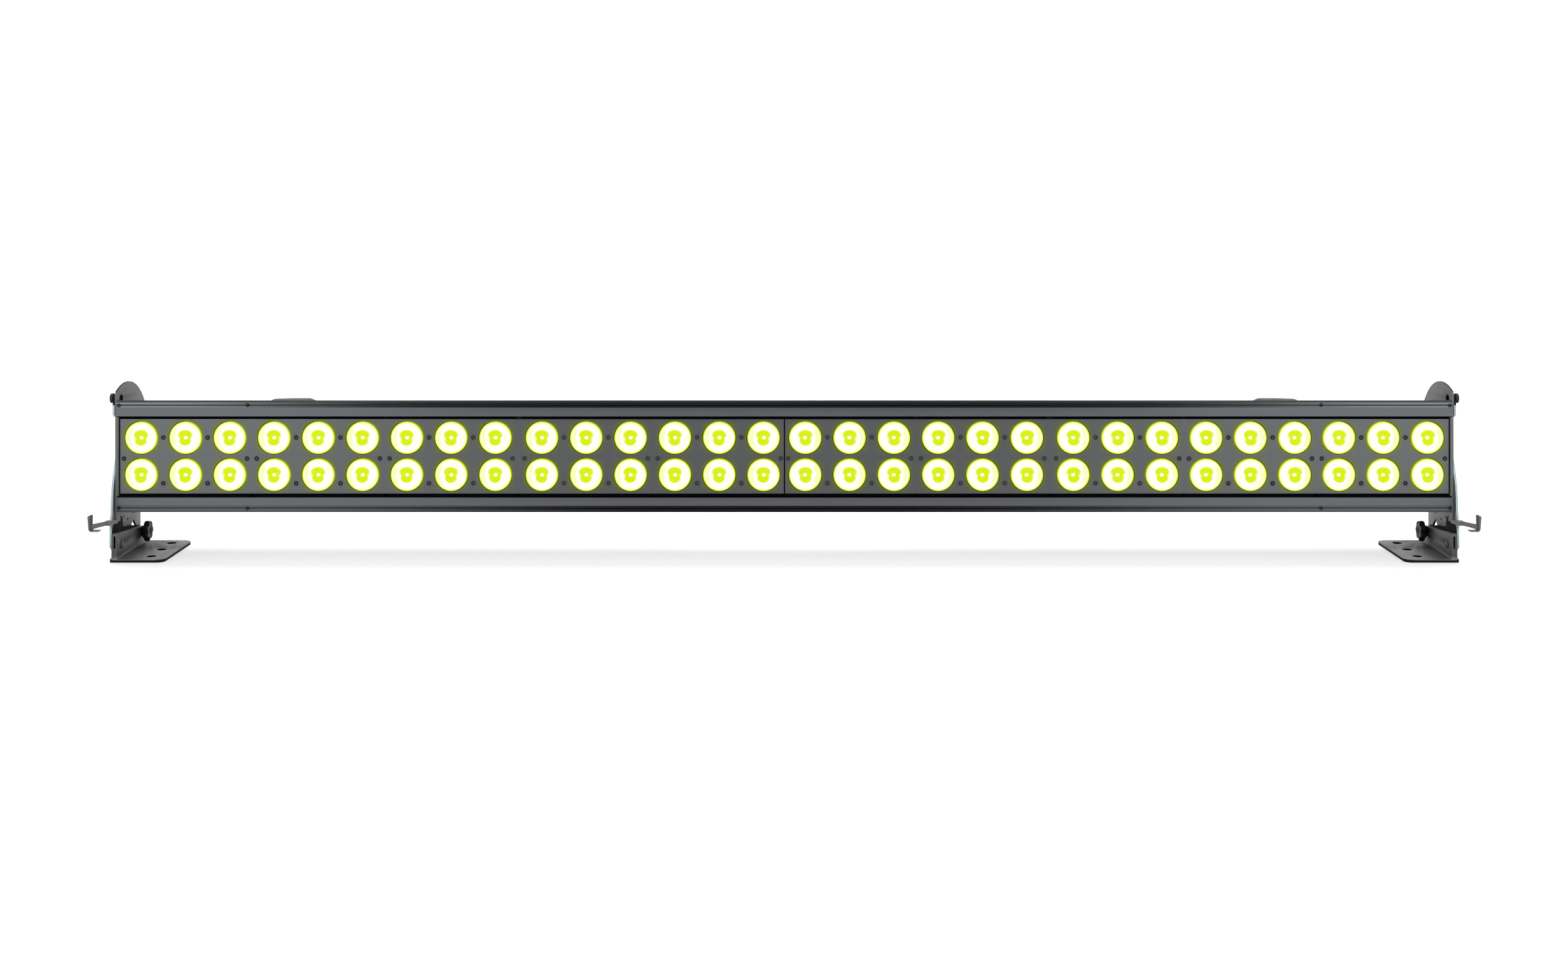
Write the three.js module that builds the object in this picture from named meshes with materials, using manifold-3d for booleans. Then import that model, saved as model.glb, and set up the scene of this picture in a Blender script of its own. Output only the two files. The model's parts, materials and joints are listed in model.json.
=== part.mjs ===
// Stage wash batten on floor trunnion brackets.
// Millimetres, +Z up, +X along the bar, -Y is the side the light leaves from.
// The parts are drawn in fixture coordinates: y = 0 on the front of the rails, z = 0 on the tilt
// axis. One parent group then moves the origin to the middle of the footprint, on the floor.

import * as THREE from 'three';
import { mergeVertices } from 'three/addons/utils/BufferGeometryUtils.js';
import Module from 'manifold-3d';

const wasm = await Module();
wasm.setup();

// ---------------------------------------------------------------- driving dimensions
const PIVOT_Y = 41.8;          // tilt axis behind the front of the rails
const PIVOT_H = 141.0;         // tilt axis above the floor
const RAIL_END = 911.6;        // half length of the rails
const RAIL_OUT = [76.8, 76.3]; // outer edges of the top and bottom rails above and below the axis
const RAIL_IN = [55.0, 55.8];  // inner edges of the top and bottom rails above and below the axis
const PLATE_HALF_H = 50.8;     // face plate half height
const PLATE_END = 907.8;
const PLATE_Y = [3.0, 5.5];
const SEAM = 0.85;             // half of the seam between the two face plates
const ROW_Z = 25.35;           // lens rows above and below the axis
const LENS_R = 22.3;
const LENS_HOLE_R = 24.0;      // corner radius of the ten-sided holes
const COLUMNS = [28.5, 89.1, 149.7, 210.3, 270.9, 331.5,
  395.0, 455.5, 516.0, 576.5, 637.0, 697.5, 758.0, 818.5, 879.0];
const BLOCK_HALF = 88.5;       // half length of one lens block
const BLOCK_HALF_H = 58.0;
const BLOCK_Y = [7.0, 9.0];
const LENS_FRONT_Y = 2.2;

const HOUSING_END = 909.0;
const HOUSING_TOP = 63.0;
const HOUSING_BACK = 112.0;
const FIN_TIP = 121.0;
const WALL = 2.5;
const DECK_Y = [26.0, 30.0];

const DISC_R = 95.4;           // index plate radius about the tilt axis
const DISC_RISE = 2.2;         // the upper half of the plate's rim sits this much higher
const DISC_X = [911.9, 914.0];
const ARM_X = [914.4, 917.4];
const ARM_R = 87.4;
const ARM_BACK = 106.3;
const ARM_BOTTOM = -131.0;
const THUMB = [18.9, 77.4];    // y, z of the thumbscrew
const KNOB = [88.7, -118.7];   // y, z of the star knob
const FOOT_BOLT = [6.0, -121.0];
const FOOT_X = [842.0, 916.0];
const FOOT_Y = [-17.0, 113.5];
const FOOT_T = 4.0;
const UPRIGHT_X = [906.4, 913.8];
const LEVER_AXIS = [921.5, -88.0]; // x, z of the lever's hinge pin, which runs along y

const FAN_X = 684.5;
const FAN_Y = 57.5;
const FAN_HALF = 30.0;

const LEVER_Y = [-19.5, -8.4];  // lever tab

const MID_Y = (LEVER_Y[0] + PIVOT_Y + DISC_R) / 2;

// ---------------------------------------------------------------- finishes
const finish = (color, roughness, metalness) => () =>
  new THREE.MeshStandardMaterial({ color, roughness, metalness });
const GREY_PAINT = finish(0x5a5c60, 0.55, 0.35);
const FACE_PAINT = finish(0x63656a, 0.5, 0.4);
const DARK_ALU = finish(0x45474b, 0.45, 0.7);
const BARE_ALU = finish(0xb4b6b8, 0.4, 0.9);
const STEEL = finish(0x8c8e90, 0.35, 0.95);
const BLACK_PLASTIC = finish(0x141416, 0.6, 0.0);
const BOARD = finish(0xe8ebe6, 0.5, 0.0);
const GREEN_BOARD = finish(0x1d5a34, 0.5, 0.0);
const LENS = finish(0xe6ff3c, 0.1, 0.0);
const WINDOW = finish(0x1a2330, 0.1, 0.0);
const BLUE = finish(0x2b4a86, 0.5, 0.0);

// ---------------------------------------------------------------- helpers
const toSolid = (geometry) => {
  const g = geometry.index ? geometry.toNonIndexed() : geometry.clone();
  g.deleteAttribute('normal');
  g.deleteAttribute('uv');
  const m = mergeVertices(g, 1e-4);
  return new wasm.Manifold(new wasm.Mesh({
    numProp: 3,
    vertProperties: new Float32Array(m.attributes.position.array),
    triVerts: new Uint32Array(m.index.array),
  }));
};
const toGeometry = (solid) => {
  const mesh = solid.getMesh();
  const n = mesh.numProp;
  const p = new Float32Array(mesh.vertProperties.length / n * 3);
  for (let i = 0; i < p.length / 3; i++) {
    p[3 * i] = mesh.vertProperties[n * i];
    p[3 * i + 1] = mesh.vertProperties[n * i + 1];
    p[3 * i + 2] = mesh.vertProperties[n * i + 2];
  }
  const g = new THREE.BufferGeometry();
  g.setAttribute('position', new THREE.BufferAttribute(p, 3));
  g.setIndex(new THREE.BufferAttribute(new Uint32Array(mesh.triVerts), 1));
  g.computeVertexNormals();
  return g;
};
const cut = (base, ...tools) => tools.reduce((s, t) => s.subtract(t), base);
const join = (base, ...more) => more.reduce((s, t) => s.add(t), base);

const path = (pts) => {
  // outlines are wound counter-clockwise
  let a = 0;
  pts.forEach(([x, y], i) => {
    const [u, v] = pts[(i + 1) % pts.length];
    a += x * v - u * y;
  });
  return a < 0 ? [...pts].reverse() : pts;
};
const extrude = (outline, depth) => new THREE.ExtrudeGeometry(
  new THREE.Shape(path(outline).map(([x, y]) => new THREE.Vector2(x, y))),
  { depth, bevelEnabled: false, curveSegments: 1, steps: 1 });

// an outline drawn in the plane across an axis, swept from lo to hi along it, less its holes
const swept = (place) => function sweep(outline, lo, hi, holes = []) {
  const g = extrude(outline, hi - lo);
  g.applyMatrix4(place(lo, hi));
  return holes.reduce((s, h) => s.subtract(sweep(h, lo - 1, hi + 1)), toSolid(g));
};
const alongX = swept((lo) => new THREE.Matrix4().set(
  0, 0, 1, lo,
  1, 0, 0, 0,
  0, 1, 0, 0,
  0, 0, 0, 1));
const alongY = swept((lo, hi) => new THREE.Matrix4().set(
  1, 0, 0, 0,
  0, 0, -1, hi,
  0, 1, 0, 0,
  0, 0, 0, 1));
const alongZ = swept((lo) => new THREE.Matrix4().makeTranslation(0, 0, lo));
const box = (x0, x1, y0, y1, z0, z1) => {
  const g = new THREE.BoxGeometry(x1 - x0, y1 - y0, z1 - z0);
  g.translate((x0 + x1) / 2, (y0 + y1) / 2, (z0 + z1) / 2);
  return toSolid(g);
};
const ring = (cx, cy, r, n, turn = 0.5) => Array.from({ length: n }, (_, i) => {
  const a = (i + turn) / n * Math.PI * 2;
  return [cx + r * Math.cos(a), cy + r * Math.sin(a)];
});
const rect = (x0, x1, y0, y1) => [[x0, y0], [x1, y0], [x1, y1], [x0, y1]];
const flipZ = (pts) => pts.map(([y, z]) => [y, -z]);
const arc = (cx, cy, r, a0, a1, n) => Array.from({ length: n + 1 }, (_, i) => {
  const a = THREE.MathUtils.degToRad(a0 + (a1 - a0) * i / n);
  return [cx + r * Math.cos(a), cy + r * Math.sin(a)];
});
const mirrorX = (geometry) => {
  const g = geometry.clone();
  g.applyMatrix4(new THREE.Matrix4().makeScale(-1, 1, 1));
  const idx = g.index.array;
  for (let i = 0; i < idx.length; i += 3) {
    const t = idx[i + 1];
    idx[i + 1] = idx[i + 2];
    idx[i + 2] = t;
  }
  g.computeVertexNormals();
  return g;
};

const fixture = new THREE.Group();
fixture.position.set(0, -MID_Y, PIVOT_H);
const add = (name, solid, material) => {
  const mesh = new THREE.Mesh(toGeometry(solid), material());
  mesh.name = name;
  fixture.add(mesh);
  return mesh;
};
// a piece drawn at the +X end, and its mirror image at the -X end
const addPair = (name, solid, material) => {
  const right = toGeometry(solid);
  for (const [prefix, g] of [['right_', right], ['left_', mirrorX(right)]]) {
    const mesh = new THREE.Mesh(g, material());
    mesh.name = prefix + name;
    fixture.add(mesh);
  }
};

// ---------------------------------------------------------------- housing
const fins = [];
for (let z = 40; z >= -40; z -= 10) {
  fins.push([HOUSING_BACK, z + 1.1], [FIN_TIP, z + 0.8], [FIN_TIP, z - 0.8], [HOUSING_BACK, z - 1.1]);
}
const housingOutline = [
  [10, HOUSING_TOP], [88, HOUSING_TOP], [HOUSING_BACK, 45],
  ...fins,
  [HOUSING_BACK, -45], [88, -HOUSING_TOP], [10, -HOUSING_TOP],
  [10, -HOUSING_TOP + WALL], [DECK_Y[0], -HOUSING_TOP + WALL],
  [DECK_Y[0], HOUSING_TOP - WALL], [10, HOUSING_TOP - WALL],
];
const housingHollow = [
  [DECK_Y[1], HOUSING_TOP - WALL], [87.2, HOUSING_TOP - WALL], [HOUSING_BACK - WALL, 43.8],
  [HOUSING_BACK - WALL, -43.8], [87.2, -HOUSING_TOP + WALL], [DECK_Y[1], -HOUSING_TOP + WALL],
];
let housing = alongX(housingOutline, -HOUSING_END, HOUSING_END, [housingHollow]);
housing = cut(housing,
  box(-138, 138, 100, 130, -38, 38),
  box(-143.5, 143.5, HOUSING_BACK, 130, -43.5, 43.5),
  alongZ(ring(FAN_X, FAN_Y, 26, 16), 55, 70),
  alongZ(ring(-FAN_X, FAN_Y, 26, 16), 55, 70));
add('housing', housing, DARK_ALU);

// ---------------------------------------------------------------- rails
const rail = (inner, outer) => [
  [0, inner], [0, 66.9], [0.8, 67.3], [0.8, 69.3], [2.6, 69.5], [2.6, 70.9], [0.6, 71.1], [0.6, 73.9],
  [2.3, 74.2], [2.3, outer], [26, 71.8], [26, HOUSING_TOP + 0.35],
  [6.5, HOUSING_TOP + 0.35], [6.5, inner],
];
add('top_rail', alongX(rail(RAIL_IN[0], RAIL_OUT[0]), -RAIL_END, RAIL_END), FACE_PAINT);
add('bottom_rail', alongX(flipZ(rail(RAIL_IN[1], RAIL_OUT[1])), -RAIL_END, RAIL_END), FACE_PAINT);

// ---------------------------------------------------------------- face plates
const lensHoles = [];
for (const x of COLUMNS) {
  for (const z of [ROW_Z, -ROW_Z]) lensHoles.push(ring(x, z, LENS_HOLE_R, 10));
}
addPair('face_plate', alongY(rect(SEAM, PLATE_END, -PLATE_HALF_H, PLATE_HALF_H),
  PLATE_Y[0], PLATE_Y[1], lensHoles), FACE_PAINT);

// ---------------------------------------------------------------- lens blocks
for (let b = 0; b < 5; b++) {
  const cols = COLUMNS.slice(3 * b, 3 * b + 3);
  const c = cols[1];
  let block = alongY(rect(c - BLOCK_HALF, c + BLOCK_HALF, -BLOCK_HALF_H, BLOCK_HALF_H),
    BLOCK_Y[0], BLOCK_Y[1]);
  for (const x of cols) {
    for (const z of [ROW_Z, -ROW_Z]) {
      block = block.add(alongY(ring(x, z, LENS_R, 10), LENS_FRONT_Y, BLOCK_Y[0] + 1));
    }
  }
  const g = toGeometry(block);
  for (const [side, geo] of [['right', g], ['left', mirrorX(g)]]) {
    const mesh = new THREE.Mesh(geo, LENS());
    mesh.name = `${side}_lens_block_${b + 1}`;
    fixture.add(mesh);
  }
}

// ---------------------------------------------------------------- LED boards
let board = box(4, 904, 23.9, 25.6, -52, 52);
for (const x of COLUMNS) {
  for (const z of [ROW_Z, -ROW_Z]) board = board.add(box(x - 3.5, x + 3.5, 21.8, 24.2, z - 3.5, z + 3.5));
}
addPair('led_board', board, BOARD);

// ---------------------------------------------------------------- power and control inside
add('power_supply', join(
  box(-430, -190, 46, 94, -38, 38),
  box(-190.5, -172, 52, 84, -30, 4)), BARE_ALU);
addPair('driver_board', join(
  box(462, 638, 42, 43.6, -44, 44),
  box(475, 505, 43, 62, -30, 0),
  box(520, 548, 43, 58, -34, 10),
  box(565, 595, 43, 66, 4, 34),
  box(605, 628, 43, 56, -30, -8)), GREEN_BOARD);
add('control_board', join(
  box(-125, 125, 84, 85.6, -36, 36),
  box(-118, -96, 72, 84.5, -20, 20),
  box(-30, -8, 80, 84.5, -12, 12),
  box(40, 60, 76, 84.5, -24, -6)), GREEN_BOARD);

// ---------------------------------------------------------------- rear panel
const SOCKETS = [
  ['power_inlet', -112], ['power_outlet', -76], ['data_input', 76], ['data_output', 112],
];
const BUTTON_X = [-27, -9, 9, 27];
add('rear_panel', alongY(rect(-143, 143, -43, 43), 112.3, 115.3, [
  ...SOCKETS.map(([, x]) => ring(x, 0, 13.2, 12)),
  ...BUTTON_X.map((x) => ring(x, -16, 5.1, 8)),
  rect(-31, 31, 5, 29),
]), GREY_PAINT);
add('display_window', box(-30.5, 30.5, 112.6, 115.9, 5.5, 28.5), WINDOW);
BUTTON_X.forEach((x, i) => add(`menu_button_${i + 1}`, join(
  alongY(ring(x, -16, 4.3, 8), 110.4, 117.4),
  alongY(ring(x, -16, 6.0, 8), 108.6, 110.6)), BLACK_PLASTIC));
for (const [name, x] of SOCKETS) {
  const profile = [
    [0, 103], [12.0, 103], [12.0, 115.6], [15.6, 115.6], [15.6, 118.2], [13.2, 118.2],
    [13.2, 129], [9.6, 129], [9.6, 107], [0, 107],
  ].map(([r, h]) => new THREE.Vector2(r, h));
  const g = new THREE.LatheGeometry(profile, 12);
  g.translate(x, 0, 0);
  add(name, toSolid(g), name.startsWith('power') ? BLUE : BLACK_PLASTIC);
}

// ---------------------------------------------------------------- fans and cowls
const cowlOuter = [[652, 63.35], [652, 65.2], [664, 71.2], [667, 71.5], [715, 71.5], [717, 70.2], [717, 63.35]];
const cowlInner = [[655.5, 63.0], [655.5, 65.4], [666.5, 69.7], [714.6, 69.7], [714.6, 63.0]];
let cowl = alongY(cowlOuter, 27, 88);
cowl = cut(cowl, alongY(cowlInner, 29.4, 85.6));
for (let k = 0; k < 5; k++) cowl = cut(cowl, box(668 + 9 * k, 673 + 9 * k, 84, 90, 65, 68.2));
addPair('fan_cowl', cowl, DARK_ALU);

let frame = alongZ(rect(FAN_X - FAN_HALF, FAN_X + FAN_HALF, FAN_Y - FAN_HALF + 3, FAN_Y + FAN_HALF - 3),
  44.8, 59.9, [ring(FAN_X, FAN_Y, 26.4, 20)]);
frame = join(frame,
  alongZ(ring(FAN_X, FAN_Y, 11, 12), 44.8, 46.6),
  box(FAN_X - 27.5, FAN_X + 27.5, FAN_Y - 1.5, FAN_Y + 1.5, 44.8, 46.4),
  box(FAN_X - 1.5, FAN_X + 1.5, FAN_Y - 26.8, FAN_Y + 26.8, 44.8, 46.4));
addPair('fan_frame', frame, BLACK_PLASTIC);

let rotor = alongZ(ring(FAN_X, FAN_Y, 11, 14), 47.2, 58.6);
for (let k = 0; k < 7; k++) {
  const g = new THREE.BoxGeometry(16, 1.2, 9.5);
  g.rotateX(THREE.MathUtils.degToRad(42));
  g.translate(17, 0, 52.9);
  g.rotateZ(k / 7 * Math.PI * 2);
  g.translate(FAN_X, FAN_Y, 0);
  rotor = rotor.add(toSolid(g));
}
addPair('fan_rotor', rotor, BLACK_PLASTIC);

// ---------------------------------------------------------------- index plates on the head
const frontCut = 1.0;
const a0 = THREE.MathUtils.radToDeg(Math.acos((frontCut - PIVOT_Y) / DISC_R));
const discOutline = [...arc(PIVOT_Y, 0, DISC_R, -a0, 0, 16), ...arc(PIVOT_Y, DISC_RISE, DISC_R, 0, a0, 16)];
let disc = alongX(discOutline, DISC_X[0], DISC_X[1]);
disc = join(disc,
  box(909.6, DISC_X[0] + 0.5, frontCut, 6.6, -53.8, 53.8),
  alongX(ring(PIVOT_Y, 0, 10.6, 16), 893, DISC_X[0] + 0.5));
disc = cut(disc,
  alongX(ring(PIVOT_Y, 0, 5.5, 16), 880, 930),
  alongX(ring(THUMB[0], THUMB[1], 3.8, 12), 905, 920));
// index notches in the rim, below and behind
for (let k = 0; k < 8; k++) {
  const a = THREE.MathUtils.degToRad(-104 + 15 * k);
  disc = cut(disc, alongX(ring(PIVOT_Y + (DISC_R - 1.5) * Math.cos(a), (DISC_R - 1.5) * Math.sin(a), 3.4, 8), 905, 920));
}
addPair('index_plate', disc, GREY_PAINT);
addPair('pivot_bolt', join(
  alongX(ring(PIVOT_Y, 0, 4.9, 16), 895, 918.5),
  alongX(ring(PIVOT_Y, 0, 9.4, 6), 917.8, 923.4)), STEEL);

// ---------------------------------------------------------------- bracket arms
const aFront = THREE.MathUtils.radToDeg(Math.atan2(80.6, 8 - PIVOT_Y));
const aBack = -THREE.MathUtils.radToDeg(Math.acos((ARM_BACK - PIVOT_Y) / ARM_R));
const armOutline = [
  [0, 56.6], [0, 71.5],
  ...arc(PIVOT_Y, 0, ARM_R, aFront, aBack, 24),
  [ARM_BACK, ARM_BOTTOM + 5], [ARM_BACK - 5, ARM_BOTTOM], [-2, ARM_BOTTOM], [-12.3, -116],
  [-11.2, -96], [-7.2, -72], [-6.0, -54], [-3, -37.4], [1.2, -25], [6.2, -13], [14, 3], [14, 50],
];
addPair('bracket_arm', alongX(armOutline, ARM_X[0], ARM_X[1], [
  ring(PIVOT_Y, 0, 5.7, 16),
  ring(THUMB[0], THUMB[1], 3.7, 12),
  ring(KNOB[0], KNOB[1], 3.8, 12),
  ring(FOOT_BOLT[0], FOOT_BOLT[1], 3.8, 12),
  [[75.5, -99.6], [77.2, -100.6], [90.5, -112.0], [90.0, -113.5], [63.5, -113.5], [62.6, -112.3], [74.2, -100.2]],
]), GREY_PAINT);

// ---------------------------------------------------------------- feet
const [fx0, fx1] = FOOT_X;
const floor = -PIVOT_H;
const top = floor + FOOT_T;
const footFront = [
  [fx0, floor], [fx1 - 3, floor], [fx1 - 0.9, floor + 0.9], [fx1, floor + 3], [fx1 - 0.9, top - 0.2],
  [UPRIGHT_X[1], top + 1.6], [UPRIGHT_X[1], -100], [UPRIGHT_X[0], -100], [UPRIGHT_X[0], top + 2.4],
  [UPRIGHT_X[0] - 2.4, top], [fx0, top],
];
let foot = alongY(footFront, FOOT_Y[0], FOOT_Y[1]);
const plan = [
  ...arc(fx0 + 11, FOOT_Y[0] + 11, 11, 180, 270, 5),
  ...arc(fx1 - 4, FOOT_Y[0] + 4, 4, 270, 360, 3),
  ...arc(fx1 - 4, FOOT_Y[1] - 4, 4, 0, 90, 3),
  ...arc(fx0 + 14, FOOT_Y[1] - 14, 14, 90, 180, 5),
];
const sideView = [
  [FOOT_Y[0], floor - 1], [FOOT_Y[0], top + 0.01], [-14, top + 3], [-14, -104.2], [-12, -102.6], [100, -113.6],
  [105, -117.6], [105, top + 3], [FOOT_Y[1], top + 0.01], [FOOT_Y[1], floor - 1],
];
foot = foot.intersect(alongZ(plan, floor - 1, 0)).intersect(alongX(sideView, fx0 - 1, fx1 + 1));
foot = cut(foot,
  box(908.3, 910.9, -30, -2, -123, -105.6),
  alongX(ring(KNOB[0], KNOB[1], 3.8, 12), 900, 920),
  alongX(ring(FOOT_BOLT[0], FOOT_BOLT[1], 3.8, 12), 900, 920),
  ...[6, 49.6, 93].map((y) => alongZ(ring(866, y, 6.6, 16), floor - 1, top + 1)));
addPair('foot', foot, GREY_PAINT);

addPair('foot_bolt', join(
  alongX(ring(FOOT_BOLT[0], FOOT_BOLT[1], 3.0, 12), 905.2, 918.5),
  alongX(ring(FOOT_BOLT[0], FOOT_BOLT[1], 6.6, 6), 917.8, 921.6),
  alongX(ring(FOOT_BOLT[0], FOOT_BOLT[1], 6.0, 6), 904.6, 906.1)), STEEL);

// ---------------------------------------------------------------- star knobs and their bolts
const lobes = [];
for (let i = 0; i < 35; i++) {
  const a = i / 35 * Math.PI * 2;
  const r = 12.9 + 1.6 * Math.cos(7 * a) ;
  lobes.push([KNOB[0] + r * Math.cos(a), KNOB[1] + r * Math.sin(a)]);
}
addPair('star_knob', cut(join(
  alongX(lobes, 894.4, 902.6),
  alongX(ring(KNOB[0], KNOB[1], 7.6, 16), 902.4, 906.0)),
alongX(ring(KNOB[0], KNOB[1], 3.7, 12), 896.8, 910)), BLACK_PLASTIC);
addPair('knob_bolt', join(
  alongX(ring(KNOB[0], KNOB[1], 3.0, 12), 897.6, 918.5),
  alongX(ring(KNOB[0], KNOB[1], 7.6, 14), 917.8, 920.8)), STEEL);

// ---------------------------------------------------------------- thumbscrews
addPair('thumbscrew', join(
  alongX(ring(THUMB[0], THUMB[1], 3.0, 12), 914.5, 920),
  alongX(ring(THUMB[0], THUMB[1], 4.2, 14), 917.8, 921.4),
  alongX(ring(THUMB[0], THUMB[1], 6.8, 18), 921.2, 926.2)), BLACK_PLASTIC);

// ---------------------------------------------------------------- lock levers
const [lx, lz] = LEVER_AXIS;
const bar = alongY([[905.5, -84.0], [918, -84.7], [926, -86.3], [941.6, -90.9], [941.6, -97.4], [926, -92.8], [918, -91.2], [905.5, -88.2]], -16.5, -11.4);
const tab = alongY([[940.6, -77.4], [943.0, -76.8], [944.8, -78.0], [943.4, -96.8], [941.4, -99.0], [929.6, -99.0], [929.6, -97.8], [940.0, -97.6], [941.2, -95.6]], LEVER_Y[0], LEVER_Y[1]);
const lug = alongY(ring(lx, lz, 4.6, 14), -16.5, -11.4);
const leverSolid = cut(join(bar, tab, lug), alongY(ring(lx, lz, 2.3, 12), -30, 0));
addPair('lock_lever', leverSolid, GREY_PAINT);
addPair('lever_clevis', cut(
  alongY([[917.8, -93.4], [917.8, -82.6], [923.5, -82.6], [926.6, -85.4], [926.6, -90.6], [923.5, -93.4]], -9.2, 3),
  alongY(ring(lx, lz, 2.3, 12), -30, 5)), DARK_ALU);
addPair('lever_pin', join(
  alongY(ring(lx, lz, 1.7, 10), -17.0, 3.4),
  alongY(ring(lx, lz, 2.9, 10), -18.2, -16.9)), STEEL);

export default fixture;
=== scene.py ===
import json
import math

import bmesh
import bpy
from mathutils import Matrix, Vector

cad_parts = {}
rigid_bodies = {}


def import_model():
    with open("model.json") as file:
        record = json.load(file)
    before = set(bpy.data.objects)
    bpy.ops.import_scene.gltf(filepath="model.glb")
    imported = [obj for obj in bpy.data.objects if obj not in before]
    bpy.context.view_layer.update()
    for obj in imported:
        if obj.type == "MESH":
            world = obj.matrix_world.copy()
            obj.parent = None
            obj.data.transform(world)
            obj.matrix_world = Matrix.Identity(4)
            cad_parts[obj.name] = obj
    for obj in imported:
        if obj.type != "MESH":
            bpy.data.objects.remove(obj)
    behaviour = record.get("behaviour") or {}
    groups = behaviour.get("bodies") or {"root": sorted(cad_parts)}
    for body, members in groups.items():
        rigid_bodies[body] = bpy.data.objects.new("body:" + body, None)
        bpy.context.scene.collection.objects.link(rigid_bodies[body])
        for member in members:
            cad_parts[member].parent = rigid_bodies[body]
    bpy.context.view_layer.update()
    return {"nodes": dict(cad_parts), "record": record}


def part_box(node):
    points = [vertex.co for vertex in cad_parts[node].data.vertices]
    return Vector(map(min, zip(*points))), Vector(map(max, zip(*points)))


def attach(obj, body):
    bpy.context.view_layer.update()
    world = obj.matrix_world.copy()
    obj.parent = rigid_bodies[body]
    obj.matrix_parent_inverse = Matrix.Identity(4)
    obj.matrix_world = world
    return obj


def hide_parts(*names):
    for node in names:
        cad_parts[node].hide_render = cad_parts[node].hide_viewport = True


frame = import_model()
scene = bpy.context.scene

# ------------------------------------------------------------------ fixture coordinates
# Pieces are drawn in millimetres with y = 0 on the front of the rails and z = 0 on the tilt axis,
# then moved into the row frame in metres. The shift comes from the tilt joint of the frame.
tilt = next(j for j in frame["record"]["behaviour"]["joints"] if j["name"] == "left_bracket_tilt")
PIVOT_Y = 41.8
MID_Y = PIVOT_Y - tilt["pos_m"][1] * 1000
PIVOT_H = tilt["pos_m"][2] * 1000
TO_ROW = Matrix.Translation((0, -MID_Y / 1000, PIVOT_H / 1000)) @ Matrix.Scale(0.001, 4)


def node_mm(name):
    lo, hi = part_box(name)
    return ([lo[0] * 1000, lo[1] * 1000 + MID_Y, lo[2] * 1000 - PIVOT_H],
            [hi[0] * 1000, hi[1] * 1000 + MID_Y, hi[2] * 1000 - PIVOT_H])


COLUMNS = [28.5, 89.1, 149.7, 210.3, 270.9, 331.5,
           395.0, 455.5, 516.0, 576.5, 637.0, 697.5, 758.0, 818.5, 879.0]
ROW_Z = 25.35
LENS_R = 22.3
HOLE_R = 23.1
FLOOR = -PIVOT_H

# ------------------------------------------------------------------ materials


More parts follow.
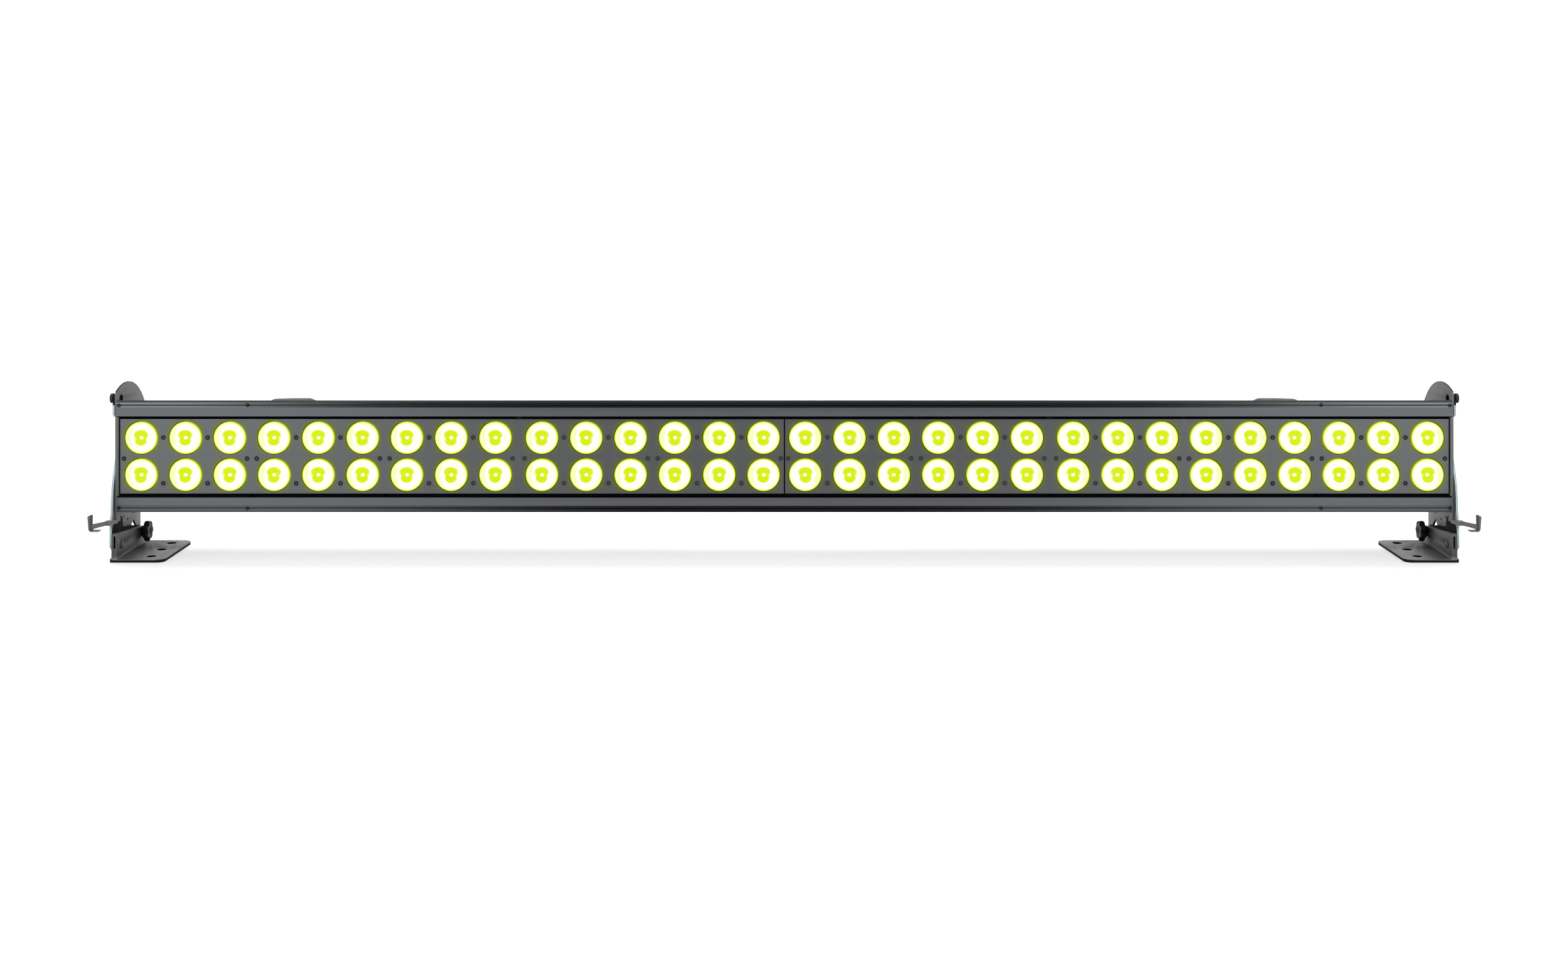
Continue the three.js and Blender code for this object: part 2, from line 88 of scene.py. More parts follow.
class Nodes:
    """A small builder for node materials."""

    def __init__(self, name):
        self.mat = bpy.data.materials.new(name)
        self.mat.use_nodes = True
        self.tree = self.mat.node_tree
        self.tree.nodes.clear()
        self.out = self.tree.nodes.new("ShaderNodeOutputMaterial")
        self.bsdf = self.tree.nodes.new("ShaderNodeBsdfPrincipled")
        self.tree.links.new(self.bsdf.outputs[0], self.out.inputs[0])
        coord = self.tree.nodes.new("ShaderNodeTexCoord")
        self.obj = coord.outputs["Object"]
        self.uv = coord.outputs["UV"]

    def put(self, socket, value):
        if isinstance(value, bpy.types.NodeSocket):
            self.tree.links.new(value, socket)
        elif isinstance(value, (tuple, list)) and len(value) == 3 and socket.type == "RGBA":
            socket.default_value = (*value, 1)
        else:
            socket.default_value = value

    def math(self, op, a, b=0.0, c=0.0, clamp=False):
        n = self.tree.nodes.new("ShaderNodeMath")
        n.operation = op
        n.use_clamp = clamp
        for i, v in enumerate((a, b, c)):
            self.put(n.inputs[i], v)
        return n.outputs[0]

    def step(self, value, lo, hi):
        n = self.tree.nodes.new("ShaderNodeMapRange")
        n.interpolation_type = "SMOOTHSTEP"
        self.put(n.inputs["Value"], value)
        n.inputs["From Min"].default_value = lo
        n.inputs["From Max"].default_value = hi
        return n.outputs["Result"]

    def remap(self, value, lo, hi, a, b):
        n = self.tree.nodes.new("ShaderNodeMapRange")
        self.put(n.inputs["Value"], value)
        for key, v in (("From Min", lo), ("From Max", hi), ("To Min", a), ("To Max", b)):
            n.inputs[key].default_value = v
        return n.outputs["Result"]

    def scaled(self, scale):
        n = self.tree.nodes.new("ShaderNodeMapping")
        self.put(n.inputs["Vector"], self.obj)
        n.inputs["Scale"].default_value = scale
        return n.outputs[0]

    def noise(self, scale, detail=2.0, vector=None, rough=0.5):
        n = self.tree.nodes.new("ShaderNodeTexNoise")
        self.put(n.inputs["Vector"], vector if vector is not None else self.obj)
        n.inputs["Scale"].default_value = scale
        n.inputs["Detail"].default_value = detail
        n.inputs["Roughness"].default_value = rough
        return n.outputs["Fac"]

    def cells(self, scale, feature="F1"):
        n = self.tree.nodes.new("ShaderNodeTexVoronoi")
        n.feature = feature
        self.put(n.inputs["Vector"], self.obj)
        n.inputs["Scale"].default_value = scale
        return n.outputs["Distance"]

    def mix(self, fac, a, b, blend="MIX"):
        n = self.tree.nodes.new("ShaderNodeMix")
        n.data_type = "RGBA"
        n.blend_type = blend
        self.put(n.inputs[0], fac)
        self.put(n.inputs[6], a)
        self.put(n.inputs[7], b)
        return n.outputs[2]

    def bump(self, height, strength, distance, below=None):
        n = self.tree.nodes.new("ShaderNodeBump")
        self.put(n.inputs["Height"], height)
        n.inputs["Strength"].default_value = strength
        n.inputs["Distance"].default_value = distance
        if below is not None:
            self.put(n.inputs["Normal"], below)
        return n.outputs[0]

    def edge(self, radius):
        """1 on edges within radius of a corner, 0 on flats."""
        n = self.tree.nodes.new("ShaderNodeBevel")
        n.samples = 4
        n.inputs["Radius"].default_value = radius
        g = self.tree.nodes.new("ShaderNodeNewGeometry")
        d = self.tree.nodes.new("ShaderNodeVectorMath")
        d.operation = "DOT_PRODUCT"
        self.put(d.inputs[0], n.outputs[0])
        self.put(d.inputs[1], g.outputs["Normal"])
        return self.math("SUBTRACT", 1.0, d.outputs["Value"], clamp=True)

    def attribute(self, name):
        n = self.tree.nodes.new("ShaderNodeAttribute")
        n.attribute_name = name
        return n

    def __getitem__(self, key):
        return self.bsdf.inputs[key]

    def set(self, **values):
        for key, v in values.items():
            self.put(self.bsdf.inputs[key.replace("_", " ")], v)
        return self.mat


def powder(name, rgb, roughness=0.5, grain=1400.0, bump=0.35, wear=0.0, dust=0.0, spread=0.10, bare=(0.42, 0.43, 0.44)):
    """Textured powder coat: orange peel and fine grit, faint patchiness, and bare metal on worn edges."""
    n = Nodes(name)
    broad = n.noise(9.0, 3.0)
    fine = n.noise(grain, 2.0)
    grit = n.noise(grain * 0.36, 4.0, rough=0.65)
    tone = n.math("MULTIPLY_ADD", broad, spread, 1.0 - spread / 2)
    tone = n.math("MULTIPLY", tone, n.math("MULTIPLY_ADD", grit, 0.22, 0.89))
    combine = n.tree.nodes.new("ShaderNodeCombineColor")
    for i in range(3):
        n.put(combine.inputs[i], tone)
    col = n.mix(1.0, rgb, combine.outputs[0], "MULTIPLY")
    if dust:
        g = n.tree.nodes.new("ShaderNodeNewGeometry")
        sep = n.tree.nodes.new("ShaderNodeSeparateXYZ")
        n.put(sep.inputs[0], g.outputs["Normal"])
        up = n.step(sep.outputs[2], 0.5, 1.0)
        spots = n.step(n.noise(60.0, 5.0), 0.45, 0.7)
        col = n.mix(n.math("MULTIPLY", n.math("MULTIPLY", up, spots), dust), col, (0.42, 0.40, 0.37))
    rough = n.math("MULTIPLY_ADD", n.noise(35.0, 3.0), 0.16, roughness - 0.08)
    metal = 0.0
    if wear:
        mask = n.step(n.math("MULTIPLY_ADD", n.noise(170.0, 4.0), 0.10, n.edge(0.0007)), 0.10, 0.20)
        mask = n.math("MULTIPLY", mask, wear)
        col = n.mix(mask, col, bare)
        metal = n.math("MULTIPLY", mask, 0.6)
        rough = n.math("SUBTRACT", rough, n.math("MULTIPLY", mask, 0.15))
    normal = n.bump(fine, bump, 0.00006, n.bump(grit, bump * 0.8, 0.00012))
    return n.set(Base_Color=col, Roughness=rough, Metallic=metal, Normal=normal)


def anodised(name, rgb, roughness=0.42, metallic=0.15, wear=0.35):
    """Drawn aluminium extrusion: die lines along x under a satin anodised colour."""
    n = Nodes(name)
    lines = n.noise(1.0, 3.0, n.scaled((3.0, 2600.0, 2600.0)), 0.6)
    broad = n.noise(1.0, 2.0, n.scaled((5.0, 60.0, 60.0)))
    tone = n.math("ADD", n.math("MULTIPLY_ADD", lines, 0.16, 0.88),
                  n.math("MULTIPLY_ADD", broad, 0.10, -0.05))
    combine = n.tree.nodes.new("ShaderNodeCombineColor")
    for i in range(3):
        n.put(combine.inputs[i], tone)
    col = n.mix(1.0, rgb, combine.outputs[0], "MULTIPLY")
    mask = n.math("MULTIPLY", n.step(
        n.math("MULTIPLY_ADD", n.noise(120.0, 4.0), 0.10, n.edge(0.0005)), 0.12, 0.22), wear)
    col = n.mix(mask, col, (0.45, 0.46, 0.47))
    rough = n.math("MULTIPLY_ADD", lines, 0.14, roughness - 0.07)
    return n.set(Base_Color=col, Roughness=rough, Metallic=metallic,
                 Normal=n.bump(lines, 0.25, 0.00005))


def zinc(name, rgb=(0.50, 0.50, 0.49), roughness=0.32):
    n = Nodes(name)
    blotch = n.noise(240.0, 4.0)
    turn = n.noise(1.0, 2.0, n.scaled((4200.0, 700.0, 700.0)))
    col = n.mix(n.step(blotch, 0.35, 0.7), rgb, tuple(c * t for c, t in zip(rgb, (0.80, 0.79, 0.74))))
    rough = n.math("MULTIPLY_ADD", blotch, 0.2, roughness - 0.1)
    return n.set(Base_Color=col, Metallic=1.0, Roughness=rough, Normal=n.bump(turn, 0.2, 0.00004))


def moulded(name, rgb, roughness=0.5, grain=1800.0, bump=0.25, scuff=0.3, metallic=0.0, shine=0.4):
    n = Nodes(name)
    fine = n.noise(grain, 3.0)
    marks = n.step(n.noise(90.0, 6.0, rough=0.7), 0.56, 0.74)
    col = n.mix(n.math("MULTIPLY", marks, scuff), rgb, tuple(min(1, c * 1.9 + 0.012) for c in rgb))
    rough = n.math("MULTIPLY_ADD", n.noise(40.0, 3.0), 0.2, roughness - 0.1)
    return n.set(Base_Color=col, Roughness=rough, Metallic=metallic, Specular_IOR_Level=shine,
                 Normal=n.bump(fine, bump, 0.00006))


def board_green(name, rgb):
    n = Nodes(name)
    sep = n.tree.nodes.new("ShaderNodeSeparateXYZ")
    n.put(sep.inputs[0], n.obj)
    tracks = n.math("FRACT", n.math("MULTIPLY", sep.outputs[2], 260.0))
    line = n.step(tracks, 0.42, 0.5)
    keep = n.step(n.noise(55.0, 2.0), 0.48, 0.52)
    lighter = tuple(min(1, c * 1.7 + 0.01) for c in rgb)
    col = n.mix(n.math("MULTIPLY", line, keep), rgb, lighter)
    return n.set(Base_Color=col, Roughness=n.math("MULTIPLY_ADD", n.noise(70.0, 2.0), 0.15, 0.3),
                 Normal=n.bump(line, 0.2, 0.00003))


def lens_lit(name):
    """A moulded lens seen lit. UV holds the place on the lens in lens radii: u outward along the bar, v up."""
    n = Nodes(name)
    sep = n.tree.nodes.new("ShaderNodeSeparateXYZ")
    n.put(sep.inputs[0], n.uv)
    x = n.math("MULTIPLY", sep.outputs[0], 26.0)
    y = n.math("MULTIPLY", sep.outputs[1], 26.0)

    def oval(cx, cy, rx, ry):
        dx = n.math("DIVIDE", n.math("SUBTRACT", x, cx), rx)
        dy = n.math("DIVIDE", n.math("SUBTRACT", y, cy), ry)
        return n.math("SQRT", n.math("ADD", n.math("MULTIPLY", dx, dx), n.math("MULTIPLY", dy, dy)))

    r = oval(0, 0, 1, 1)
    body = n.math("MINIMUM", oval(0.2, 4.6, 11.5, 8.1), oval(0.4, -4.4, 9.6, 8.4))
    patch = n.math("SUBTRACT", 1.0, n.step(body, 0.80, 1.16))
    spot = n.math("SUBTRACT", 1.0, n.step(oval(-0.5, 0.2, 4.0, 3.4), 0.35, 1.1))
    patch = n.math("MULTIPLY", patch, n.math("SUBTRACT", 1.0, spot))
    band = n.math("SUBTRACT", 1.0, n.step(n.math("ABSOLUTE", n.math("SUBTRACT", r, 19.0)), 0.4, 2.6))
    outer = n.step(n.math("DIVIDE", x, n.math("MAXIMUM", r, 0.001)), 0.55, 0.95)
    haze = n.math("MULTIPLY", n.math("MULTIPLY", band, outer), 0.62)
    haze2 = n.math("MULTIPLY", n.math("MULTIPLY_ADD", outer, 0.30, 0.07), n.step(r, 14.0, 21.0))
    white = (0.94, 0.95, 0.86)
    col = n.mix(haze, white, (0.82, 0.90, 0.20))
    col = n.mix(haze2, col, (0.84, 0.90, 0.26))
    col = n.mix(patch, col, (0.64, 0.79, 0.0))
    edge = n.tree.nodes.new("ShaderNodeValToRGB")
    n.put(edge.inputs[0], n.math("DIVIDE", r, 27.0))
    ramp = edge.color_ramp
    ramp.elements[0].position, ramp.elements[0].color = 0.845, (1, 1, 1, 1)
    ramp.elements[1].position, ramp.elements[1].color = 1.0, (0.10, 0.16, 0.0, 1)
    for pos, c in ((0.880, (0.97, 1.0, 0.45)), (0.910, (0.84, 0.98, 0.04)), (0.945, (0.52, 0.68, 0.0)),
                   (0.972, (0.20, 0.28, 0.0))):
        e = ramp.elements.new(pos)
        e.color = (*c, 1)
    col = n.mix(1.0, col, edge.outputs[0], "MULTIPLY")
    facets = n.cells(1500.0)
    return n.set(Base_Color=(0.015, 0.016, 0.003), Roughness=0.25, IOR=1.40, Specular_IOR_Level=0.08,
                 Emission_Color=col, Emission_Strength=1.08,
                 Normal=n.bump(facets, 0.05, 0.00004))


def face_coat(name, rgb):
    """The face plates' powder coat, with the lenses' spill light on the metal just around each hole."""
    n = Nodes(name)
    broad = n.noise(7.0, 3.0)
    grit = n.noise(520.0, 4.0, rough=0.65)
    fine = n.noise(1500.0, 2.0)
    tone = n.math("MULTIPLY", n.math("MULTIPLY_ADD", broad, 0.08, 0.96),
                  n.math("MULTIPLY_ADD", grit, 0.26, 0.87))
    combine = n.tree.nodes.new("ShaderNodeCombineColor")
    for i in range(3):
        n.put(combine.inputs[i], tone)
    col = n.mix(1.0, rgb, combine.outputs[0], "MULTIPLY")
    glow = n.attribute("glow").outputs["Fac"]
    g2 = n.math("POWER", glow, 1.6)
    col = n.mix(n.math("POWER", glow, 0.8, clamp=True), col, n.mix(1.0, col, (0.92, 0.98, 0.20), "MULTIPLY"))
    return n.set(Base_Color=col, Roughness=n.math("MULTIPLY_ADD", n.noise(30.0, 3.0), 0.14, 0.50),
                 Emission_Color=(0.45, 0.66, 0.02), Emission_Strength=n.math("MULTIPLY", g2, 0.07),
                 Normal=n.bump(fine, 0.3, 0.00005, n.bump(grit, 0.3, 0.0001)))




def strip_coat(name, dark, pale, near, far, wobble=0.08):
    """The rails' narrow outer mouldings: satin black that goes paler towards the ends of the bar, a painted light that
    changes colour along x; the foot tops and face screws use the same ramp for painted light and shade.
    """
    n = Nodes(name)
    sep = n.tree.nodes.new("ShaderNodeSeparateXYZ")
    n.put(sep.inputs[0], n.obj)
    along = n.math("MULTIPLY_ADD", n.noise(6.0, 2.0), wobble, n.math("ABSOLUTE", sep.outputs[0]))
    # painted light and shade: the colour runs from the first colour in the middle of the bar to the second at its ends
    mask = n.step(along, near, far)
    lines = n.noise(1.0, 3.0, n.scaled((3.0, 2600.0, 2600.0)), 0.6)
    col = n.mix(mask, dark, pale)
    col = n.mix(n.math("MULTIPLY", lines, 0.25), col, dark)
    return n.set(Base_Color=col, Roughness=n.math("MULTIPLY_ADD", lines, 0.12, 0.42), Specular_IOR_Level=0.12,
                 Normal=n.bump(lines, 0.2, 0.00004))


M = {
    "housing": anodised("charcoal_extrusion", (0.045, 0.047, 0.052), 0.46, 0.1, 0.25),
    "rail": anodised("grey_rail", (0.078, 0.083, 0.093), 0.46, 0.08, 0.15),
    # the rails' outer strips and groove: painted light, paler towards the ends of the bar
    "rail_strip": strip_coat("dark_strip", (0.009, 0.010, 0.010), (0.155, 0.160, 0.170), 0.52, 0.92),
    "low_strip": strip_coat("low_strip", (0.005, 0.0055, 0.0055), (0.090, 0.093, 0.100), 0.18, 0.82),
    "groove_strip": strip_coat("strip_groove", (0.007, 0.008, 0.009), (0.085, 0.088, 0.094), 0.25, 0.85),
    "lip": anodised("lip_strip", (0.018, 0.019, 0.020), 0.55, 0.05, 0.05),
    # foot base tops: painted light makes them lighter than the bracket powder, and painted shade darkens them at the
    # outer end by the riser
    "foot_top": strip_coat("foot_top_painted_light_and_shade", (0.190, 0.190, 0.192), (0.024, 0.025, 0.027), 0.862, 0.900, 0.008),
    # the riser's inboard and front faces: a darker copy of the bracket powder, painted shade
    "riser": powder("riser_painted_shade", (0.033, 0.035, 0.039), 0.50, wear=0.45, bare=(0.28, 0.31, 0.31)),
    "hood": powder("hood_powder", (0.011, 0.012, 0.012), 0.58, wear=0.2, bare=(0.10, 0.11, 0.11)),
    # face and rail screws: painted shade, greyer in the middle of the bar and near black towards its ends
    "face_screw": strip_coat("dark_oxide_painted_shade", (0.040, 0.041, 0.046), (0.003, 0.0035, 0.005), 0.30, 0.72),
    "groove": moulded("groove_shadow", (0.004, 0.005, 0.006), 0.85, scuff=0.05, shine=0.04),
    "face": face_coat("face_powder", (0.073, 0.078, 0.091)),
    "bracket": powder("bracket_powder", (0.080, 0.080, 0.082), 0.50, wear=0.45, dust=0.08, bare=(0.28, 0.31, 0.31)),
    # the arm's front-facing cut edges: a pale teal bare-looking sheet edge with a painted highlight
    "arm_edge": powder("arm_edge_bare_and_highlight", (0.26, 0.33, 0.34), 0.42, wear=0.3, bare=(0.5, 0.55, 0.55)),
    "disc": powder("index_plate_powder", (0.078, 0.078, 0.079), 0.55, wear=0.25, bare=(0.28, 0.31, 0.31)),
    "lever": powder("lever_powder", (0.073, 0.070, 0.071), 0.46, wear=0.6, bare=(0.30, 0.30, 0.29)),
    "riser_rivet": powder("rivet_powder", (0.050, 0.051, 0.053), 0.5, wear=0.4, bare=(0.25, 0.26, 0.26)),
    # dark edge faces on the feet, the arms' tops and the index plates' tops: painted shade
    "edge_dark": moulded("sheet_edge_painted_shade", (0.007, 0.007, 0.008), 0.7, scuff=0.1, shine=0.08),
    "knob": moulded("knob_plastic", (0.013, 0.013, 0.014), 0.5, shine=0.16),
    "cowl": powder("cowl_powder", (0.026, 0.028, 0.028), 0.5, wear=0.25, bare=(0.16, 0.18, 0.17)),
    "lens": lens_lit("lens_lit"),
    "black": moulded("black_plastic", (0.013, 0.013, 0.014), 0.46, shine=0.28),
    "black_soft": moulded("black_rubber", (0.006, 0.006, 0.007), 0.8, grain=900.0, bump=0.4, shine=0.08, scuff=0.15),
    "screw": moulded("black_oxide", (0.008, 0.009, 0.014), 0.30, metallic=0.0, scuff=0.3, shine=0.35),
    "zinc": zinc("zinc_plate", (0.26, 0.26, 0.25)),
    "bare": zinc("bare_sheet", (0.60, 0.61, 0.62), 0.38),
    "gold": zinc("gold_contact", (0.80, 0.60, 0.25), 0.28),
    "white_board": moulded("white_mask", (0.72, 0.74, 0.70), 0.4, scuff=0.1),
    "green_board": board_green("green_mask", (0.02, 0.15, 0.06)),
    "blue": moulded("blue_shell", (0.02, 0.07, 0.28), 0.42),
    "pale": moulded("pale_shell", (0.30, 0.31, 0.32), 0.45),
    "window": moulded("smoked_window", (0.010, 0.013, 0.018), 0.12, bump=0.02, scuff=0.15),
}
glowseg = Nodes("display_glow")
M["segments"] = glowseg.set(
    Base_Color=(0.01, 0.02, 0.03), Roughness=0.4, Emission_Color=(0.10, 0.55, 1.0),
    Emission_Strength=glowseg.math("MULTIPLY_ADD", glowseg.noise(900.0), 0.5, 0.9))

# ------------------------------------------------------------------ mesh helpers

AXES = {
    "X": Matrix(((0, 0, 1, 0), (1, 0, 0, 0), (0, 1, 0, 0), (0, 0, 0, 1))),
    "Y": Matrix(((1, 0, 0, 0), (0, 0, -1, 0), (0, 1, 0, 0), (0, 0, 0, 1))),
    "Z": Matrix.Identity(4),
}


def circle(cx, cy, r, n=48, turn=0.0):
    return [(cx + r * math.cos(2 * math.pi * (i + turn) / n),
             cy + r * math.sin(2 * math.pi * (i + turn) / n)) for i in range(n)]


def arc(cx, cy, r, a0, a1, n):
    return [(cx + r * math.cos(math.radians(a0 + (a1 - a0) * i / n)),
             cy + r * math.sin(math.radians(a0 + (a1 - a0) * i / n))) for i in range(n + 1)]


def fillet(points, radii, n=6):
    """Rounds the corners of a closed outline. radii is one number, or one for each corner."""
    out = []
    count = len(points)
    if not isinstance(radii, (list, tuple)):
        radii = [radii] * count
    for i, (p, r) in enumerate(zip(points, radii)):
        p = Vector(p)
        a, b = Vector(points[i - 1]), Vector(points[(i + 1) % count])
        if r <= 0:
            out.append(tuple(p))
            continue
        u, v = (a - p), (b - p)
        lu, lv = u.length, v.length
        u.normalize()
        v.normalize()
        angle = math.acos(max(-1, min(1, u.dot(v))))
        if angle > math.pi - 0.02:
            out.append(tuple(p))
            continue
        reach = min(r / math.tan(angle / 2), lu * 0.49, lv * 0.49)
        rr = reach * math.tan(angle / 2)
        middle = (u + v).normalized() * (rr / math.sin(angle / 2)) + p
        s, e = p + u * reach, p + v * reach
        a0 = math.atan2(s.y - middle.y, s.x - middle.x)
        a1 = math.atan2(e.y - middle.y, e.x - middle.x)
        d = (a1 - a0 + math.pi) % (2 * math.pi) - math.pi
        steps = max(2, int(n * abs(d) / (math.pi / 2) + 0.5))
        for k in range(steps + 1):
            t = a0 + d * k / steps
            out.append((middle.x + rr * math.cos(t), middle.y + rr * math.sin(t)))
    return out


def plate(outline, lo, hi, axis, holes=(), bevel=0.3, res=2):
    """A flat plate across an axis, from lo to hi, with holes and rounded edges."""
    cu = bpy.data.curves.new("outline", "CURVE")
    cu.dimensions = "2D"
    cu.fill_mode = "BOTH"
    cu.extrude = (hi - lo) / 2 - bevel
    cu.bevel_depth = bevel
    cu.bevel_resolution = res
    cu.offset = -bevel
    for loop in (outline, *holes):
        sp = cu.splines.new("POLY")
        sp.points.add(len(loop) - 1)
        sp.points.foreach_set("co", [c for x, y in loop for c in (x, y, 0, 1)])
        sp.use_cyclic_u = True
    ob = bpy.data.objects.new("outline", cu)
    scene.collection.objects.link(ob)
    dg = bpy.context.evaluated_depsgraph_get()
    me = bpy.data.meshes.new_from_object(ob.evaluated_get(dg))
    bpy.data.objects.remove(ob)
    bpy.data.curves.remove(cu)
    bm = bmesh.new()
    bm.from_mesh(me)
    bmesh.ops.remove_doubles(bm, verts=bm.verts, dist=0.002)
    bmesh.ops.dissolve_degenerate(bm, edges=bm.edges, dist=0.0005)
    bmesh.ops.transform(bm, matrix=AXES[axis] @ Matrix.Translation((0, 0, (lo + hi) / 2 if axis != "Y" else -(lo + hi) / 2)), verts=bm.verts)
    bmesh.ops.recalc_face_normals(bm, faces=bm.faces)
    bm.to_mesh(me)
    bm.free()
    return me


def lathe(profile, axis, centre, n=48, shape=None):
    """A closed turned piece. profile is (radius, height) from axis to axis; centre is the place across the axis.
    shape(angle, radius, height) may change the radius."""
    verts, faces = [], []
    rings = []
    for r, h in profile:
        if r <= 1e-6:
            rings.append([len(verts)])
            verts.append((0.0, 0.0, h))
        else:
            row = []
            for i in range(n):
                a = 2 * math.pi * i / n
                rr = shape(a, r, h) if shape else r
                row.append(len(verts))
                verts.append((rr * math.cos(a), rr * math.sin(a), h))
            rings.append(row)
    for p, q in zip(rings, rings[1:]):
        for i in range(n):
            j = (i + 1) % n
            if len(p) == 1 and len(q) == 1:
                continue
            if len(p) == 1:
                faces.append((p[0], q[i], q[j]))
            elif len(q) == 1:
                faces.append((p[i], q[0], p[j]))
            else:
                faces.append((p[i], q[i], q[j], p[j]))
    me = bpy.data.meshes.new("turned")
    me.from_pydata(verts, [], faces)
    a, b = centre
    if axis == "Y":
        m = Matrix(((1, 0, 0, a), (0, 0, 1, 0), (0, -1, 0, b), (0, 0, 0, 1)))
    elif axis == "X":
        m = Matrix(((0, 0, 1, 0), (1, 0, 0, a), (0, 1, 0, b), (0, 0, 0, 1)))
    else:
        m = Matrix(((1, 0, 0, a), (0, 1, 0, b), (0, 0, 1, 0), (0, 0, 0, 1)))
    me.transform(m)
    bm = bmesh.new()
    bm.from_mesh(me)
    bmesh.ops.recalc_face_normals(bm, faces=bm.faces)
    bm.to_mesh(me)
    bm.free()
    return me


def rounded_profile(points, radii, n=4):
    """Fillets the inner corners of an open profile."""
    out = [points[0]]
    for i in range(1, len(points) - 1):
        three = [points[i - 1], points[i], points[i + 1]]
        r = radii[i] if isinstance(radii, (list, tuple)) else radii
        if r <= 0:
            out.append(points[i])
            continue
        made = fillet(three, [0, r, 0], n)
        out += made[1:-1]
    out.append(points[-1])
    return out


def block(x0, x1, y0, y1, z0, z1, r=0.6, seg=2):
    bm = bmesh.new()
    bmesh.ops.create_cube(bm, size=1)
    bmesh.ops.scale(bm, vec=(x1 - x0, y1 - y0, z1 - z0), verts=bm.verts)
    bmesh.ops.translate(bm, vec=((x0 + x1) / 2, (y0 + y1) / 2, (z0 + z1) / 2), verts=bm.verts)
    if r > 0:
        bmesh.ops.bevel(bm, geom=bm.edges[:], offset=r, segments=seg, profile=0.5, affect="EDGES")
    me = bpy.data.meshes.new("block")
    bm.to_mesh(me)
    bm.free()
    return me


def joined(*meshes):
    """Several shells in one mesh, material indices kept as tagged by paint()."""
    bm = bmesh.new()
    for me in meshes:
        bm.from_mesh(me)
    out = bpy.data.meshes.new("joined")
    bm.to_mesh(out)
    bm.free()
    return out


def paint(me, index):
    me.polygons.foreach_set("material_index", [index] * len(me.polygons))
    return me


def moved(me, x=0.0, y=0.0, z=0.0, turn=None):
    out = me.copy()
    if turn is not None:
        out.transform(turn)
    out.transform(Matrix.Translation((x, y, z)))
    return out


def mirrored(me):
    out = me.copy()
    out.transform(Matrix.Scale(-1, 4, (1, 0, 0)))
    out.flip_normals()
    return out


def boolean(base, tools, op="DIFFERENCE"):
    """base less (or with) the tools, by Blender's exact solver."""
    a = bpy.data.objects.new("base", base)
    scene.collection.objects.link(a)
    made = []
    for t in tools:
        b = bpy.data.objects.new("tool", t)
        scene.collection.objects.link(b)
        made.append(b)
        mod = a.modifiers.new("cut", "BOOLEAN")
        mod.operation = op
        mod.solver = "EXACT"
        mod.object = b
    dg = bpy.context.evaluated_depsgraph_get()
    me = bpy.data.meshes.new_from_object(a.evaluated_get(dg))
    for o in (a, *made):
        bpy.data.objects.remove(o)
    bm = bmesh.new()
    bm.from_mesh(me)
    bmesh.ops.remove_doubles(bm, verts=bm.verts, dist=0.001)
    bmesh.ops.dissolve_degenerate(bm, edges=bm.edges, dist=0.0005)
    bm.to_mesh(me)
    bm.free()
    return me


def soften(me, width, angle=28, seg=2):
    """Rounds the sharp edges of a mesh, in place, by a bevel modifier that is applied."""
    a = bpy.data.objects.new("base", me)
    scene.collection.objects.link(a)
    mod = a.modifiers.new("bevel", "BEVEL")
    mod.width = width
    mod.segments = seg
    mod.limit_method = "ANGLE"
    mod.angle_limit = math.radians(angle)
    mod.use_clamp_overlap = True
    mod.miter_outer = "MITER_SHARP"
    dg = bpy.context.evaluated_depsgraph_get()
    out = bpy.data.meshes.new_from_object(a.evaluated_get(dg))
    bpy.data.objects.remove(a)
    return out


def piece(name, me, body, mats, replaces=(), angle=32):
    """Puts a mesh drawn in fixture millimetres into the row frame as a named piece of the object."""
    me.transform(TO_ROW)
    me.polygons.foreach_set("use_smooth", [True] * len(me.polygons))
    me.set_sharp_from_angle(angle=math.radians(angle))
    for m in mats if isinstance(mats, (list, tuple)) else [mats]:
        me.materials.append(M[m] if isinstance(m, str) else m)
    ob = bpy.data.objects.new(name, me)
    me.name = name
    scene.collection.objects.link(ob)
    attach(ob, body)
    if replaces:
        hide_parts(*([replaces] if isinstance(replaces, str) else replaces))
    return ob


def pair(name, me, body, mats, replaces=None, angle=32):
    """A piece drawn at the +X end, and its mirror image at the -X end. {} in body and replaces is the side."""
    for side, m in (("right", me.copy()), ("left", mirrored(me))):
        piece(f"{side}_{name}", m, body.format(side), mats,
              () if replaces is None else [r.format(side) for r in ([replaces] if isinstance(replaces, str) else replaces)],
              angle)


# ------------------------------------------------------------------ kept CAD nodes: materials only
def dress(name, *mats):
    ob = frame["nodes"][name]
    for s in ob.material_slots:
        s.link = "OBJECT"
        s.material = M[mats[0]]


for side in ("left", "right"):
    dress(f"{side}_led_board", "white_board")
    dress(f"{side}_driver_board", "green_board")
    dress(f"{side}_fan_frame", "black")
    dress(f"{side}_fan_rotor", "black")
dress("power_supply", "bare")
dress("control_board", "green_board")

# ------------------------------------------------------------------ rails
def rail_outline(inner, outer):
    return [(0, inner), (0, 66.9), (0.8, 67.3), (0.8, 69.3), (2.6, 69.5), (2.6, 70.9), (0.6, 71.1), (0.6, 73.9),
            (2.3, 74.2), (2.3, outer), (26, 71.8), (26, 63.35), (6.5, 63.35), (6.5, inner)]


